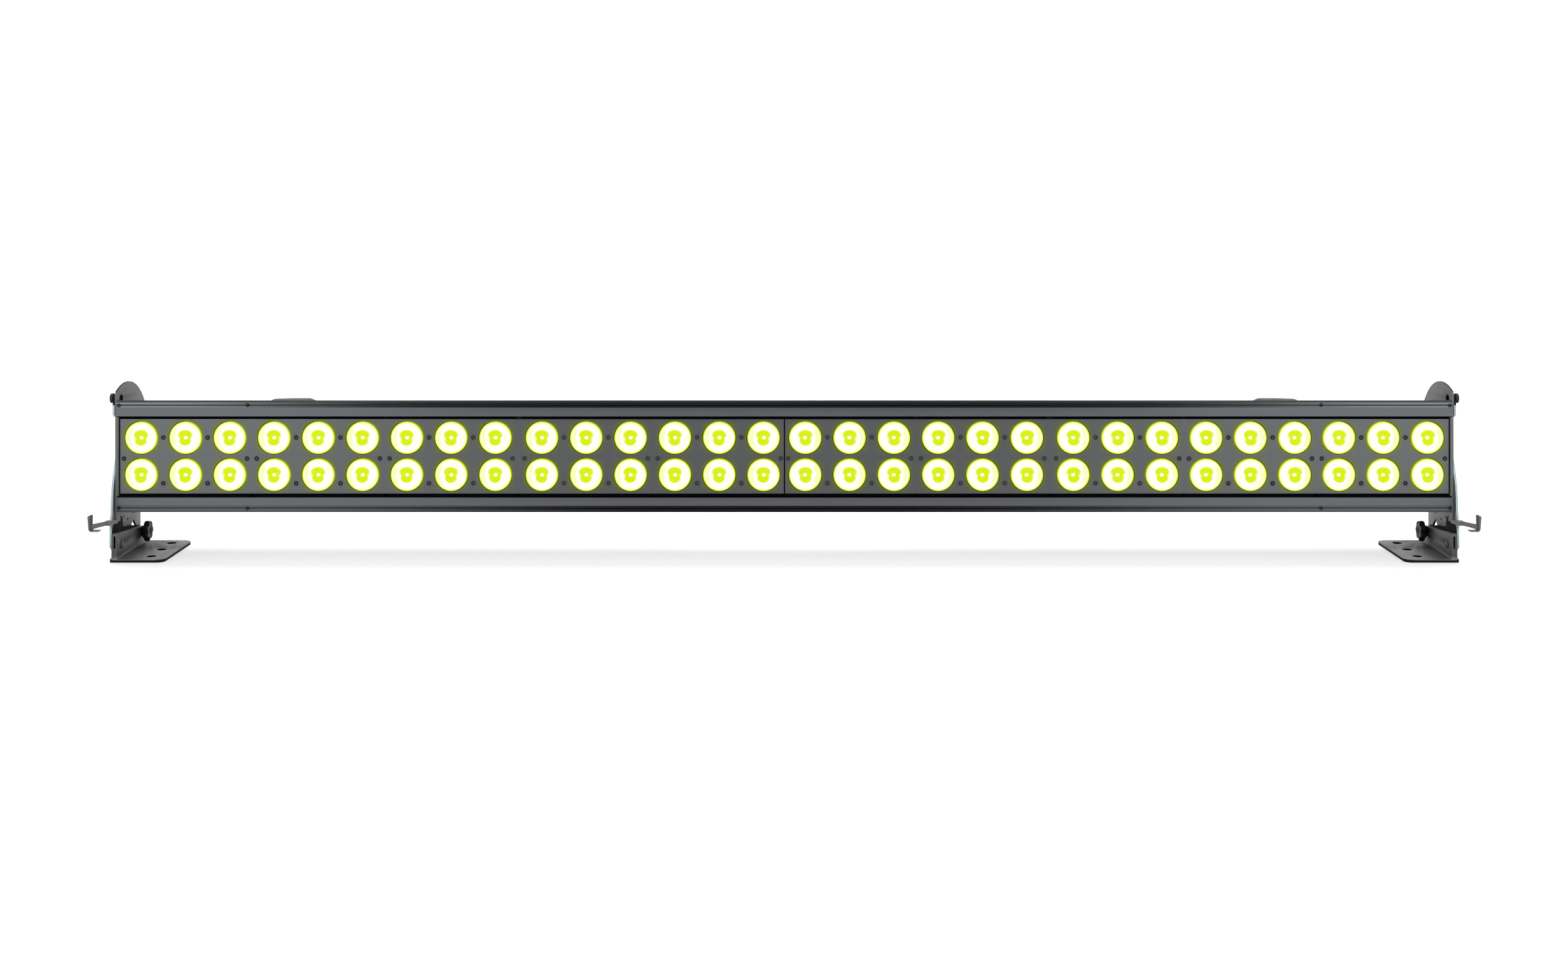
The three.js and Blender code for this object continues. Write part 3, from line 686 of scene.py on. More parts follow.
rail_round = [0.4, 0.35, 0.3, 0.3, 0.2, 0.2, 0.3, 0.4, 0.2, 0.5, 1.5, 0.3, 0.6, 0.3]
for sign, name in ((1, "top_rail"), (-1, "bottom_rail")):
    line = fillet(rail_outline(55.0, 76.8) if sign > 0 else rail_outline(55.8, 76.3), rail_round, 3)
    if sign < 0:
        line = [(y, -z) for y, z in reversed(line)]
    me = plate(line, -911.6, 911.6, "X", bevel=0.15, res=1)
    # the groove is black, painted paler towards the ends of the bar as painted light; the faces behind the rail's lip
    # take the black painted-shadow material; the set-back outer strip is darker than the rail's face, also painted
    # paler towards the ends
    dark = []
    for p in me.polygons:
        c = p.center
        z = abs(c.z)
        if abs(p.normal.x) > 0.5:
            dark.append(0)
        elif 1.4 < c.y < 2.8 and 69.2 < z < 71.2:
            dark.append(3)
        elif c.y < 4.0 and z > 74.0:
            dark.append(4 if sign > 0 else 1)
        elif c.y < 3.0 and z > 67.1 and p.normal.y < -0.25:
            dark.append(1)
        elif z < 63.5 and (c.y > 5.5 or (c.y > 0.15 and z < 56.4)):
            dark.append(2)
        else:
            dark.append(0)
    me.polygons.foreach_set("material_index", dark)
    piece(name + "_extrusion", me, "head", ["rail", "rail_strip" if sign > 0 else "low_strip", "groove", "groove_strip", "lip"], name)

# ------------------------------------------------------------------ face plates


def face_plate():
    """The right-hand plate: one cell of quads round each lens hole, shared sides, rounded hole edges."""
    xs = [0.85] + [(a + b) / 2 for a, b in zip(COLUMNS, COLUMNS[1:])] + [907.8]
    zs = [-50.8, 0.0, 50.8]
    k = 14
    verts, faces, glow = [], [], []
    y_front, y_back = 3.0, 5.5

    def side_points(x0, x1, z0, z1):
        pts = []
        for i in range(k):
            pts.append((x0 + (x1 - x0) * i / k, z0))
        for i in range(k):
            pts.append((x1, z0 + (z1 - z0) * i / k))
        for i in range(k):
            pts.append((x1 - (x1 - x0) * i / k, z1))
        for i in range(k):
            pts.append((x0, z1 - (z1 - z0) * i / k))
        return pts

    for ci, cx in enumerate(COLUMNS):
        for ri, cz in enumerate((-ROW_Z, ROW_Z)):
            ring = side_points(xs[ci], xs[ci + 1], zs[ri], zs[ri + 1])
            n = len(ring)
            loops = []

            def loop(points, y, g):
                start = len(verts)
                verts.extend((px, y, pz) for px, pz in points)
                glow.extend([g] * n)
                loops.append(start)

            def at(r):
                out = []
                for px, pz in ring:
                    a = math.atan2(pz - cz, px - cx)
                    out.append((cx + r * math.cos(a), cz + r * math.sin(a)))
                return out

            def toward(r, t):
                return [((1 - t) * a[0] + t * b[0], (1 - t) * a[1] + t * b[1]) for a, b in zip(at(r), ring)]

            loop(ring, y_front, 0.0)
            loop(toward(HOLE_R + 0.5, 0.62), y_front, 0.14)
            loop(toward(HOLE_R + 0.5, 0.25), y_front, 0.48)
            loop(at(HOLE_R + 0.50), y_front, 1.0)
            loop(at(HOLE_R + 0.22), y_front + 0.08, 1.0)
            loop(at(HOLE_R + 0.04), y_front + 0.28, 1.0)
            loop(at(HOLE_R), y_front + 0.55, 1.0)
            loop(at(HOLE_R), y_back, 1.0)
            loop(ring, y_back, 0.0)
            for s, t in zip(loops, loops[1:]):
                for i in range(n):
                    j = (i + 1) % n
                    faces.append((s + i, s + j, t + j, t + i))
    # outer edge walls
    start = len(verts)
    edge = []
    for i in range(len(COLUMNS)):
        for q in range(k):
            edge.append((xs[i] + (xs[i + 1] - xs[i]) * q / k, -50.8))
    for ri in range(2):
        for q in range(k):
            edge.append((907.8, zs[ri] + (zs[ri + 1] - zs[ri]) * q / k))
    for i in reversed(range(len(COLUMNS))):
        for q in range(k):
            edge.append((xs[i + 1] - (xs[i + 1] - xs[i]) * q / k, 50.8))
    for ri in (1, 0):
        for q in range(k):
            edge.append((0.85, zs[ri + 1] - (zs[ri + 1] - zs[ri]) * q / k))
    verts.extend((px, y_front, pz) for px, pz in edge)
    verts.extend((px, y_back, pz) for px, pz in edge)
    glow.extend([0.0] * 2 * len(edge))
    n = len(edge)
    for i in range(n):
        j = (i + 1) % n
        faces.append((start + i, start + n + i, start + n + j, start + j))
    me = bpy.data.meshes.new("face_plate")
    me.from_pydata(verts, [], faces)
    me.attributes.new("glow", "FLOAT", "POINT").data.foreach_set("value", glow)
    bm = bmesh.new()
    bm.from_mesh(me)
    bmesh.ops.remove_doubles(bm, verts=bm.verts, dist=0.002)
    bmesh.ops.recalc_face_normals(bm, faces=bm.faces)
    # a fine rounding on the outer front edge
    rim = [e for e in bm.edges if len(e.link_faces) == 2 and e.calc_face_angle(0) > 1.2
           and all(abs(v.co.y - y_front) < 0.01 for v in e.verts)]
    bmesh.ops.bevel(bm, geom=rim, offset=0.35, segments=2, profile=0.5, affect="EDGES")
    bm.to_mesh(me)
    bm.free()
    return me


pair("face_sheet", face_plate(), "head", ["face"], "{}_face_plate")

# ------------------------------------------------------------------ lens blocks


def lens(cx, cz, n=56):
    """One lens of a block, front at y 2.2: a shallow crown, a small inner well, a rounded rim. UV in lens radii."""
    prof = []
    for i in range(19):
        r = LENS_R * 0.965 * i / 18
        y = 2.45 + 0.55 * (r / LENS_R) ** 2
        if r < 6.5:
            y += 0.9 * (1 - (r / 6.5) ** 2) ** 2 - 0.5 * math.exp(-(r / 2.2) ** 2)
        y += 0.05 * math.cos(r * 2.1) * (1 if r > 7 else 0)
        prof.append((r, y))
    prof += [(LENS_R * 0.985, 3.2), (LENS_R * 0.997, 3.6), (LENS_R, 4.2), (LENS_R, 7.4), (0, 7.4)]
    prof = [(r, max(y, 2.25)) for r, y in prof]
    me = lathe(prof, "Y", (0, 0), n)
    me.transform(Matrix.Scale(1, 4))
    uv = me.uv_layers.new(name="UVMap")
    for lp in me.loops:
        v = me.vertices[lp.vertex_index].co
        uv.data[lp.index].uv = (v.x / LENS_R, v.z / LENS_R)
    me.transform(Matrix.Translation((cx, 0, cz)))
    return me


def lens_profile_check():
    me = lens(0, 0, 8)
    ys = [v.co.y for v in me.vertices]
    return min(ys), max(ys)


for b in range(5):
    cols = COLUMNS[3 * b:3 * b + 3]
    parts = []
    for cx in cols:
        for cz in (ROW_Z, -ROW_Z):
            parts.append(paint(lens(cx, cz), 0))
    # the flange behind the face plate takes the black painted-shadow material, seen in the gap round each lens
    flange = plate(fillet([(cols[1] - 88.5, -58), (cols[1] + 88.5, -58), (cols[1] + 88.5, 58), (cols[1] - 88.5, 58)], 3),
                   7.0, 9.0, "Y", bevel=0.2, res=1)
    for uvless in (flange,):
        uvless.uv_layers.new(name="UVMap")
    parts.append(paint(flange, 1))
    block_mesh = joined(*parts)
    pair(f"lens_cluster_{b + 1}", block_mesh, "head", ["lens", "groove"], "{}_lens_block_" + str(b + 1), 40)

# ------------------------------------------------------------------ small face screws


def cap_screw(r=2.3, h=1.0, n=28):
    """A small button-head screw facing -Y, base at y 0, with a hexagon recess."""
    prof = rounded_profile([(0, 0.25), (r * 0.50, 0.25), (r * 0.52, -h + 0.12), (r * 0.60, -h), (r * 0.82, -h * 0.92),
                            (r, -h * 0.3), (r, 0.3), (0, 0.3)], 0.12, 2)

    def hexed(a, rad, hh):
        if rad > r * 0.56:
            return rad
        q = (a % (math.pi / 3)) - math.pi / 6
        return rad * math.cos(math.pi / 6) / math.cos(q)
    return lathe(prof, "Y", (0, 0), n, hexed)


screw = cap_screw(3.05, 1.2, 32)
screws = []
for b in range(5):
    cols = COLUMNS[3 * b:3 * b + 3]
    spots = []
    for a, c in ((cols[0], cols[1]), (cols[1], cols[2])):
        spots += [((a + c) / 2, 25.8), ((a + c) / 2, -36.8)]
    spots += [(cols[0] - 23.6, -2.9), (cols[2] + 23.6, -2.9)]
    for i, (x, z) in enumerate(spots):
        turn = Matrix.Rotation(0.7 * i + b, 4, "Y")
        screws.append(moved(screw, x, 3.0, z, turn))
pair("face_screws", joined(*screws), "head", ["face_screw"])

rail_screws = []
tiny = cap_screw(2.6, 0.5, 24)
for x in (733.0,):
    for z in (70.6, -70.6):
        rail_screws.append(moved(tiny, x, 0.7, z))
for z in (69.9, -70.4):
    rail_screws.append(moved(tiny, 908.7, 0.7, z))
pair("rail_screws", joined(*rail_screws), "head", ["face_screw"])

# ------------------------------------------------------------------ index plates
DISC_R = 95.2
DISC_RISE = 2.2
cutoff = 1.0
half = math.degrees(math.acos((cutoff - PIVOT_Y) / DISC_R))


def disc_outline():
    """The round plate with its flat front and the row of notches in the lower rear rim."""
    notches = [-104 + 15 * i for i in range(7)]
    pts = []
    steps = 720
    rn, rc = 3.0, DISC_R - 0.4
    for i in range(steps + 1):
        a = -half + 2 * half * i / steps
        x, y = PIVOT_Y + DISC_R * math.cos(math.radians(a)), DISC_R * math.sin(math.radians(a))
        if a > 0:
            y += DISC_RISE
        hit = None
        for t in notches:
            cx, cy = PIVOT_Y + rc * math.cos(math.radians(t)), rc * math.sin(math.radians(t))
            if math.hypot(x - cx, y - cy) < rn:
                hit = (cx, cy, t)
        if hit is None:
            if i % 5 == 0 or i in (0, steps):
                pts.append((x, y))
        elif not pts or pts[-1] != ("notch", hit[2]):
            pts.append(("notch", hit[2]))
    out = []
    for p in pts:
        if p[0] == "notch":
            t = p[1]
            cx, cy = PIVOT_Y + rc * math.cos(math.radians(t)), rc * math.sin(math.radians(t))
            out += [(cx + rn * math.cos(math.radians(t + s)), cy + rn * math.sin(math.radians(t + s)))
                    for s in (-92, -115, -138, -160, -180, -200, -222, -245, -268)]
        else:
            out.append(p)
    return out


disc = plate(disc_outline(), 911.9, 914.0, "X", holes=[circle(PIVOT_Y, 0, 5.4, 40), circle(18.9, 77.4, 3.6, 28)], bevel=0.3)
last = math.radians(1)
disc = boolean(disc, [lathe([(0, 905), (3.0, 905), (3.0, 920), (0, 920)], "X",
                            (PIVOT_Y + (DISC_R - 0.4) * math.cos(last), (DISC_R - 0.4) * math.sin(last)), 24)]
               + [lathe([(0, 905), (rad, 905), (rad, 920), (0, 920)], "X", at, 24)
                  for at, rad in (((20.6, -89.6), 4.6), ((28.6, -87.2), 1.8), ((16.4, -84.6), 1.7))])
# the thumb hole's walls take the black painted-shadow material, the upper edge faces painted shade
disc.polygons.foreach_set("material_index", [
    1 if math.hypot(p.center.y - 18.9, p.center.z - 77.4) < 3.75 and abs(p.normal.x) < 0.9
    else 2 if p.center.z > 60 and abs(p.normal.x) < 0.9 else 0 for p in disc.polygons])
washer = lathe([(3.7, 911.2), (5.2, 911.2), (5.3, 911.3), (5.3, 911.95), (3.7, 911.95), (3.7, 911.2)], "X", (18.9, 77.4), 32)
paint(washer, 1)
end_boss = block(909.6, 912.2, 1.0, 6.6, -53.8, 53.8, 0.5)
hub = lathe(rounded_profile([(5.4, 893.0), (10.4, 893.0), (10.4, 912.0), (5.4, 912.0), (5.4, 893.0)], 0.0), "X", (PIVOT_Y, 0), 40)
pair("index_disc", joined(disc, end_boss, hub, washer), "head", ["disc", "groove", "edge_dark"], "{}_index_plate")

def hex_head(x0, x1, centre, across, washer=None, n=6):
    """A hexagon head along X with chamfered corners. The washer argument is not used."""
    cy, cz = centre
    r = across / math.sqrt(3)

    def shape(a, rad, h):
        q = (a % (math.pi / 3)) - math.pi / 6
        flat = across / 2 / math.cos(q)
        return min(rad, flat)
    prof = [(0, x0), (r * 1.02, x0), (r * 1.02, x1 - 0.9), (across / 2 * 0.99, x1), (0, x1)]
    prof = [(0, x0), (r * 1.02, x0), (r * 1.02, x0 + (x1 - x0) * 0.5), (r * 1.02, x1 - 0.8),
            (r * 0.97, x1 - 0.35), (across / 2 * 0.98, x1), (across / 2 * 0.6, x1), (0, x1)]
    return lathe(prof, "X", (cy, cz), 72, shape)


pivot = [
    lathe(rounded_profile([(0, 895), (4.9, 895), (4.9, 918.4), (0, 918.4)], 0.2), "X", (PIVOT_Y, 0), 32),
    lathe(rounded_profile([(0, 917.75), (9.35, 917.75), (9.35, 918.9), (0, 918.9)], 0.25), "X", (PIVOT_Y, 0), 40),
    hex_head(918.7, 923.35, (PIVOT_Y, 0), 14.5),
]
pair("pivot_screw", joined(*pivot), "head", ["zinc"], "{}_pivot_bolt")

# ------------------------------------------------------------------ bracket arms
ARM_R = 87.4
a_front = math.degrees(math.atan2(80.6, 8 - PIVOT_Y))
a_back = -math.degrees(math.acos((106.3 - PIVOT_Y) / ARM_R))
arm_points = [(0, 56.6), (0, 71.5)]
arm_radii = [1.2, 3.5]
dome = arc(PIVOT_Y, 0, ARM_R, a_front, a_back, 72)
arm_points += dome
arm_radii += [2.0] + [0] * (len(dome) - 2) + [6.0]
lower = [(106.3, -126), (101.3, -131), (-2, -131), (-12.3, -116), (-11.2, -96), (-7.2, -72), (-6.0, -54),
         (-3, -37.4), (1.2, -25), (6.2, -13), (14, 3), (14, 50)]
arm_points += lower
arm_radii += [4, 4, 6, 8, 12, 20, 20, 20, 20, 20, 12, 5]
eye = fillet([(75.6, -99.6), (90.9, -113.4), (62.2, -113.4)], [1.6, 2.2, 2.2], 5)
arm = plate(fillet(arm_points, arm_radii, 6), 914.4, 917.4, "X", holes=[
    circle(PIVOT_Y, 0, 5.5, 40), circle(18.9, 77.4, 3.5, 28), circle(88.7, -118.7, 3.6, 28),
    circle(6, -121, 3.6, 28), eye], bevel=0.35)
# front-facing cut edges get a painted highlight, the eye's walls the black painted-shadow material
arm.polygons.foreach_set("material_index", [
    1 if (p.normal.y < -0.25 and abs(p.normal.x) < 0.93) and p.center.y < 12
    else 2 if abs(p.normal.x) < 0.93 and 61 < p.center.y < 92 and -114 < p.center.z < -99 else 0 for p in arm.polygons])
# the upper edges above z 70.5, except round the thumb hole, are painted shade
for p in arm.polygons:
    if p.center.z > 70.5 and abs(p.normal.x) < 0.93 and math.hypot(p.center.y - 18.9, p.center.z - 77.4) > 3.8:
        p.material_index = 3
pair("arm_sheet", arm, "{}_bracket", ["bracket", "arm_edge", "groove", "edge_dark"], "{}_bracket_arm")

# engraved-looking degree ticks, as thin raised marks round the pivot on the arm's outer face
ticks = []
for i in range(-6, 19):
    a = math.radians(90 - i * 5)
    long = i % 3 == 0
    r0, r1 = (58.0 if long else 60.5), 64.0
    wide = 0.35
    ca, sa = math.cos(a), math.sin(a)
    pts = [(PIVOT_Y + r * ca - w * sa, r * sa + w * ca) for r, w in ((r0, -wide), (r1, -wide), (r1, wide), (r0, wide))]
    ticks.append(plate(pts, 917.30, 917.48, "X", bevel=0.05, res=1))
pair("tilt_scale", joined(*ticks), "{}_bracket", ["pale"])

# a thin black pad on the inside of the arm, above the foot: a dark sheet put there as painted shade
pad = plate(fillet([(-9, -99.5), (-5, -92.6), (4, -90.8), (10, -83), (32, -83), (33, -101.2), (45, -103.6),
                    (60, -104.8), (67, -106.6), (91, -111.2), (100, -112.4), (100, -124), (62, -130), (-1, -130), (-10, -116)],
                   [2, 2, 2, 2, 2, 2, 3, 3, 3, 3, 1, 2, 3, 2, 2]), 913.95, 914.35, "X",
            holes=[circle(6, -121, 4.6, 24), circle(88.7, -118.7, 4.6, 24)], bevel=0.12, res=1)
pair("shade_pad", pad, "{}_bracket", ["black_soft"])

# ------------------------------------------------------------------ feet
fx0, fx1 = 842.0, 916.0
top = FLOOR + 4.0
ux0, ux1 = 906.4, 913.8


def foot_mesh():
    front = [(fx0, FLOOR), (fx1, FLOOR), (fx1, top), (ux1, top + 1.6), (ux1, -98), (ux0, -98), (ux0, top), (fx0, top)]
    radii = [0.6, 3.2, 1.4, 1.2, 0, 0, 3.6, 0.6]
    body = plate(fillet(front, radii, 8), -17.0, 113.5, "Y", bevel=0.25, res=1)
    plan = plate(fillet([(fx0, -17), (fx1, -17), (fx1, 113.5), (fx0, 113.5)], [11, 4, 4, 14], 8), FLOOR - 1, -90, "Z", bevel=0.01, res=0)
    side_pts = fillet([(-17.0, FLOOR - 2), (-17.0, top + 0.02), (-14, top + 3), (-14, -102.4), (103, -113.9),
                       (105, -116), (105, top + 3), (113.5, top + 0.02), (113.5, FLOOR - 2)],
                      [0, 0, 3, 3.0, 5.0, 2, 3, 0, 0], 6)
    side = plate(side_pts, fx0 - 2, fx1 + 2, "X", bevel=0.01, res=0)
    me = boolean(body, [plan, side], "INTERSECT")
    cuts = [block(908.3, 910.9, -40, -1.5, -122.8, -105.9, 1.1, 3)]
    cuts += [lathe([(0, 903), (3.6, 903), (3.6, 917), (0, 917)], "X", c, 32) for c in ((88.7, -118.7), (6, -121))]
    cuts += [lathe([(0, FLOOR - 2), (6.5, FLOOR - 2), (6.5, top + 2), (0, top + 2)], "Z", (866.0, y), 48) for y in (6, 49.6, 93)]
    me = soften(boolean(me, cuts), 0.45, 30, 2)

    # hole and slot walls take the black painted-shadow material
    def dark(p):
        c = p.center
        in_hole = any(math.hypot(c.x - 866, c.y - y) < 6.62 for y in (6, 49.6, 93)) and top - 3.9 < c.z < top - 0.25
        in_slot = 908.2 < c.x < 911.0 and c.y < -1.4 and -122.9 < c.z < -105.8 and c.y > -13.6
        return in_hole or in_slot

    # the base's side faces: painted shade
    def rim(p):
        c = p.center
        return c.z < top - 1.0 and abs(p.normal.z) < 0.85 and (c.x < 915.0 or c.y < -12)

    # the base's top: painted light, with painted shade near the riser
    def base_top(p):
        return p.normal.z > 0.85 and p.center.z < top + 0.6 and p.center.x < 905.8

    # the riser's inboard and front faces: painted shade
    def riser(p):
        return p.center.x > 905.0 and p.center.z > top + 1.0 and (p.normal.x < -0.5 or p.normal.y < -0.5)
    me.polygons.foreach_set("material_index", [
        1 if dark(p) else 2 if rim(p) else 3 if base_top(p) else 4 if riser(p) else 0 for p in me.polygons])
    return me


pair("foot_bracket", foot_mesh(), "{}_bracket", ["bracket", "groove", "edge_dark", "foot_top", "riser"], "{}_foot")

foot_bolt = [
    lathe(rounded_profile([(0, 905.3), (3.0, 905.3), (3.0, 918.4), (0, 918.4)], 0.2), "X", (6, -121), 28),
    hex_head(917.75, 921.5, (6, -121), 10.8),
    lathe([(0, 904.7), (3.2, 904.8), (4.6, 905.2), (5.1, 905.7), (5.1, 906.05), (0, 906.05)], "X", (6, -121), 36),
]
pair("foot_screw", joined(*foot_bolt), "{}_bracket", ["riser_rivet"], "{}_foot_bolt")

# ------------------------------------------------------------------ star knobs


KNOB = (88.7, -118.7)


def star_knob():
    cy, cz = KNOB
    prof = [(0, 896.2), (3.4, 896.2), (3.9, 895.6), (6.2, 895.1), (8.2, 894.6), (9.8, 894.4), (11.6, 894.5), (12.9, 895.0),
            (13.7, 896.0), (14.0, 897.2), (14.0, 899.6), (13.7, 900.8), (12.9, 902.0), (11.6, 902.5), (8.6, 902.6),
            (7.7, 903.1), (7.4, 904.0), (7.4, 905.5), (7.0, 905.95), (0, 905.95)]

    def lobe(a, r, h):
        if r < 8.4 or h > 902.55:
            return r
        k = (r - 8.4) / 5.6
        return r + (0.45 * math.cos(7 * a) - 1.35 * (0.5 - 0.5 * math.cos(7 * a)) ** 2) * 1.6 * k
    return lathe(prof, "X", (cy, cz), 112, lobe)


pair("clamp_knob", star_knob(), "{}_star_knob", ["knob"], "{}_star_knob", 50)
knob_bolt = [
    lathe(rounded_profile([(0, 897.7), (3.0, 897.7), (3.0, 918.4), (0, 918.4)], 0.2), "X", KNOB, 28),
    lathe(rounded_profile([(0, 917.75), (7.5, 917.75), (7.5, 918.4), (6.4, 919.8), (3.0, 920.7), (0, 920.75)], 0.3), "X", KNOB, 40),
]
pair("carriage_bolt", joined(*knob_bolt), "{}_bracket", ["zinc"], "{}_knob_bolt")

# ------------------------------------------------------------------ thumbscrews


def thumb():
    c = (18.9, 77.4)
    shank_prof = [(0, 914.55)]
    x = 914.55
    shank_prof.append((2.5, 914.55))
    while x < 917.4:
        shank_prof += [(2.95, x + 0.3), (2.6, x + 0.6)]
        x += 0.6
    shank_prof += [(2.9, 918.0), (2.9, 919.4), (0, 919.4)]
    shank = lathe(shank_prof, "X", c, 28)
    collar = lathe(rounded_profile([(0, 917.85), (4.15, 917.85), (4.15, 918.8), (3.2, 919.5), (3.2, 920.6), (4.4, 921.3), (0, 921.3)], 0.2), "X", c, 36)

    def knurl(a, r, h):
        if r < 6.3:
            return r
        return r - 0.28 * (0.5 + 0.5 * math.cos(30 * a))
    head = lathe([(0, 921.2), (5.6, 921.2), (6.4, 921.5), (6.8, 922.1), (6.8, 923.2), (6.8, 924.4), (6.8, 925.2),
                  (6.3, 925.8), (5.4, 926.1), (4.0, 926.15), (3.6, 925.8), (0, 925.7)], "X", c, 120, knurl)
    return joined(shank, collar, head)


pair("thumb_knob", thumb(), "{}_thumbscrew", ["knob"], "{}_thumbscrew", 40)

# ------------------------------------------------------------------ lock levers
lx, lz = 921.5, -88.0
bar = plate(fillet([(905.5, -83.5), (918, -85.0), (930, -87.3), (941.6, -89.8), (941.6, -96.8), (930, -93.4), (918, -90.5), (905.5, -88.1)],
                   [0.8, 10, 20, 0.6, 0.6, 20, 10, 0.8], 5), -16.5, -11.4, "Y", bevel=0.45)
tab = plate(fillet([(940.6, -77.8), (942.6, -76.8), (944.8, -78.2), (943.4, -96.6), (941.2, -99.0), (929.6, -99.0), (929.6, -97.7), (940.0, -97.6), (941.1, -95.6)],
                   [0.9, 1.6, 1.4, 2.4, 2.2, 0.5, 0.5, 1.2, 1.2], 5), -19.5, -8.4, "Y", bevel=0.45)
lug = plate(circle(lx, lz - 0.1, 3.0, 40), -16.4, -11.5, "Y", holes=[circle(lx, lz, 1.8, 28)], bevel=0.3)
pair("lever_sheet", joined(bar, tab, lug), "{}_lock_lever", ["lever"], "{}_lock_lever")
clevis = plate(fillet([(917.75, -92.6), (917.75, -85.9), (923.5, -85.9), (925.4, -87.2), (925.4, -90.8), (923.5, -92.6)], [0.6, 0.6, 1.4, 1, 1, 1.4], 5),
               -9.2, -2.6, "Y", bevel=0.4)
pair("lever_block", clevis, "{}_bracket", ["lever"], "{}_lever_clevis")
pin = [
    lathe(rounded_profile([(0, -17.0), (1.65, -17.0), (1.65, -2.3), (0, -2.3)], 0.3), "Y", (lx, lz), 24),
    lathe(rounded_profile([(0, -18.0), (2.5, -18.0), (2.5, -16.95), (0, -16.95)], 0.35), "Y", (lx, lz), 28),
]
pair("hinge_pin", joined(*pin), "{}_bracket", ["lever"], "{}_lever_pin")

# ------------------------------------------------------------------ housing


def housing_mesh():
    fins = []
    radii = []
    for z in range(40, -41, -10):
        fins += [(112, z + 1.25), (121, z + 0.8), (121, z - 0.8), (112, z - 1.25)]
        radii += [1.2, 0.5, 0.5, 1.2]
    outline = [(10, 63), (34, 63), (34.8, 62.2), (36.6, 62.2), (37.4, 63), (88, 63), (112, 45), *fins,
               (112, -45), (88, -63), (37.4, -63), (36.6, -62.2), (34.8, -62.2), (34, -63), (10, -63),
               (10, -60.5), (26, -60.5), (26, 60.5), (10, 60.5)]
    rr = [0.4, 0.2, 0.2, 0.2, 0.2, 7, 5, *radii, 5, 7, 0.2, 0.2, 0.2, 0.2, 0.4, 0.4, 0.5, 0.5, 0.4]
    hollow = [(30, 60.5), (87.2, 60.5), (109.5, 43.8), (109.5, -43.8), (87.2, -60.5), (30, -60.5)]
    body = plate(fillet(outline, rr, 5), -909.0, 909.0, "X", holes=[fillet(hollow, [1, 5, 4, 4, 5, 1], 4)], bevel=0.12, res=1)
    cuts = [block(-138, 138, 100, 130, -38, 38, 0), block(-143.5, 143.5, 112.0, 130, -43.5, 43.5, 0)]
    cuts += [lathe([(0, 50), (26, 50), (26, 70), (0, 70)], "Z", (s * 684.5, 57.5), 56) for s in (-1, 1)]
    return boolean(body, cuts)


piece("housing_extrusion", housing_mesh(), "head", ["housing"], "housing")

# ------------------------------------------------------------------ fan cowls


def cowl_mesh():
    """A low pressed cowl: rounded dome over the fan, louvres at the rear."""
    x0, x1, y0, y1 = 652.2, 716.9, 27.2, 87.8
    base, nx, ny = 63.4, 40, 36

    def crown(x, y):
        u, v = (x - x0) / (x1 - x0), (y - y0) / (y1 - y0)
        t = min(1.0, u / 0.20)
        rise = t * t * (3 - 2 * t)
        fall = 1 - 0.16 * max(0.0, (u - 0.44) / 0.56) ** 2.0
        corner = max(0.0, (u - 0.90) / 0.10) ** 3
        side = 1 - (2 * abs(v - 0.44) / 1.12) ** 2.6
        return base + 1.3 + 7.2 * max(0.0, rise * fall * side * (1 - 0.5 * corner))
    verts, faces = [], []
    for i in range(nx + 1):
        for j in range(ny + 1):
            x, y = x0 + (x1 - x0) * i / nx, y0 + (y1 - y0) * j / ny
            verts.append((x, y, crown(x, y)))
    for i in range(nx):
        for j in range(ny):
            a = i * (ny + 1) + j
            faces.append((a, a + ny + 1, a + ny + 2, a + 1))
    start = len(verts)
    loop = [i * (ny + 1) for i in range(nx + 1)] + [nx * (ny + 1) + j for j in range(1, ny + 1)]
    loop += [i * (ny + 1) + ny for i in range(nx - 1, -1, -1)] + [j for j in range(ny - 1, 0, -1)]
    for k in loop:
        x, y, _ = verts[k]
        verts.append((x, y, base))
    n = len(loop)
    for i in range(n):
        j = (i + 1) % n
        faces.append((loop[j], loop[i], start + i, start + j))
    faces.append(tuple(range(start, start + n)))
    me = bpy.data.meshes.new("cowl")
    me.from_pydata(verts, [], faces)
    bm = bmesh.new()
    bm.from_mesh(me)
    bmesh.ops.recalc_face_normals(bm, faces=bm.faces)
    bm.to_mesh(me)
    bm.free()
    cuts = [block(658.5, 711.4, 33.6, 80.0, 60.0, 66.2, 0.0)]
    cuts += [block(664 + 8.6 * k, 668.4 + 8.6 * k, 70, 84, 62.0, 70.4, 0.8, 2) for k in range(6)]
    return soften(boolean(me, cuts), 0.35, 35, 2)


pair("fan_hood", cowl_mesh(), "head", ["hood"], "{}_fan_cowl", 35)

# ------------------------------------------------------------------ rear panel and connectors
SOCKETS = (("power_inlet", -112, "blue"), ("power_outlet", -76, "pale"), ("data_input", 76, "black"), ("data_output", 112, "black"))
BUTTONS = (-27, -9, 9, 27)
panel = plate(fillet([(-143, -43), (143, -43), (143, 43), (-143, 43)], 3), 112.3, 115.3, "Y",
              holes=[circle(x, 0, 12.6, 48) for _, x, _ in SOCKETS] + [circle(x, -16, 4.9, 28) for x in BUTTONS]
              + [fillet([(-31, 5), (31, 5), (31, 29), (-31, 29)], 1.0)], bevel=0.3)
piece("control_panel", panel, "head", ["cowl"], "rear_panel")

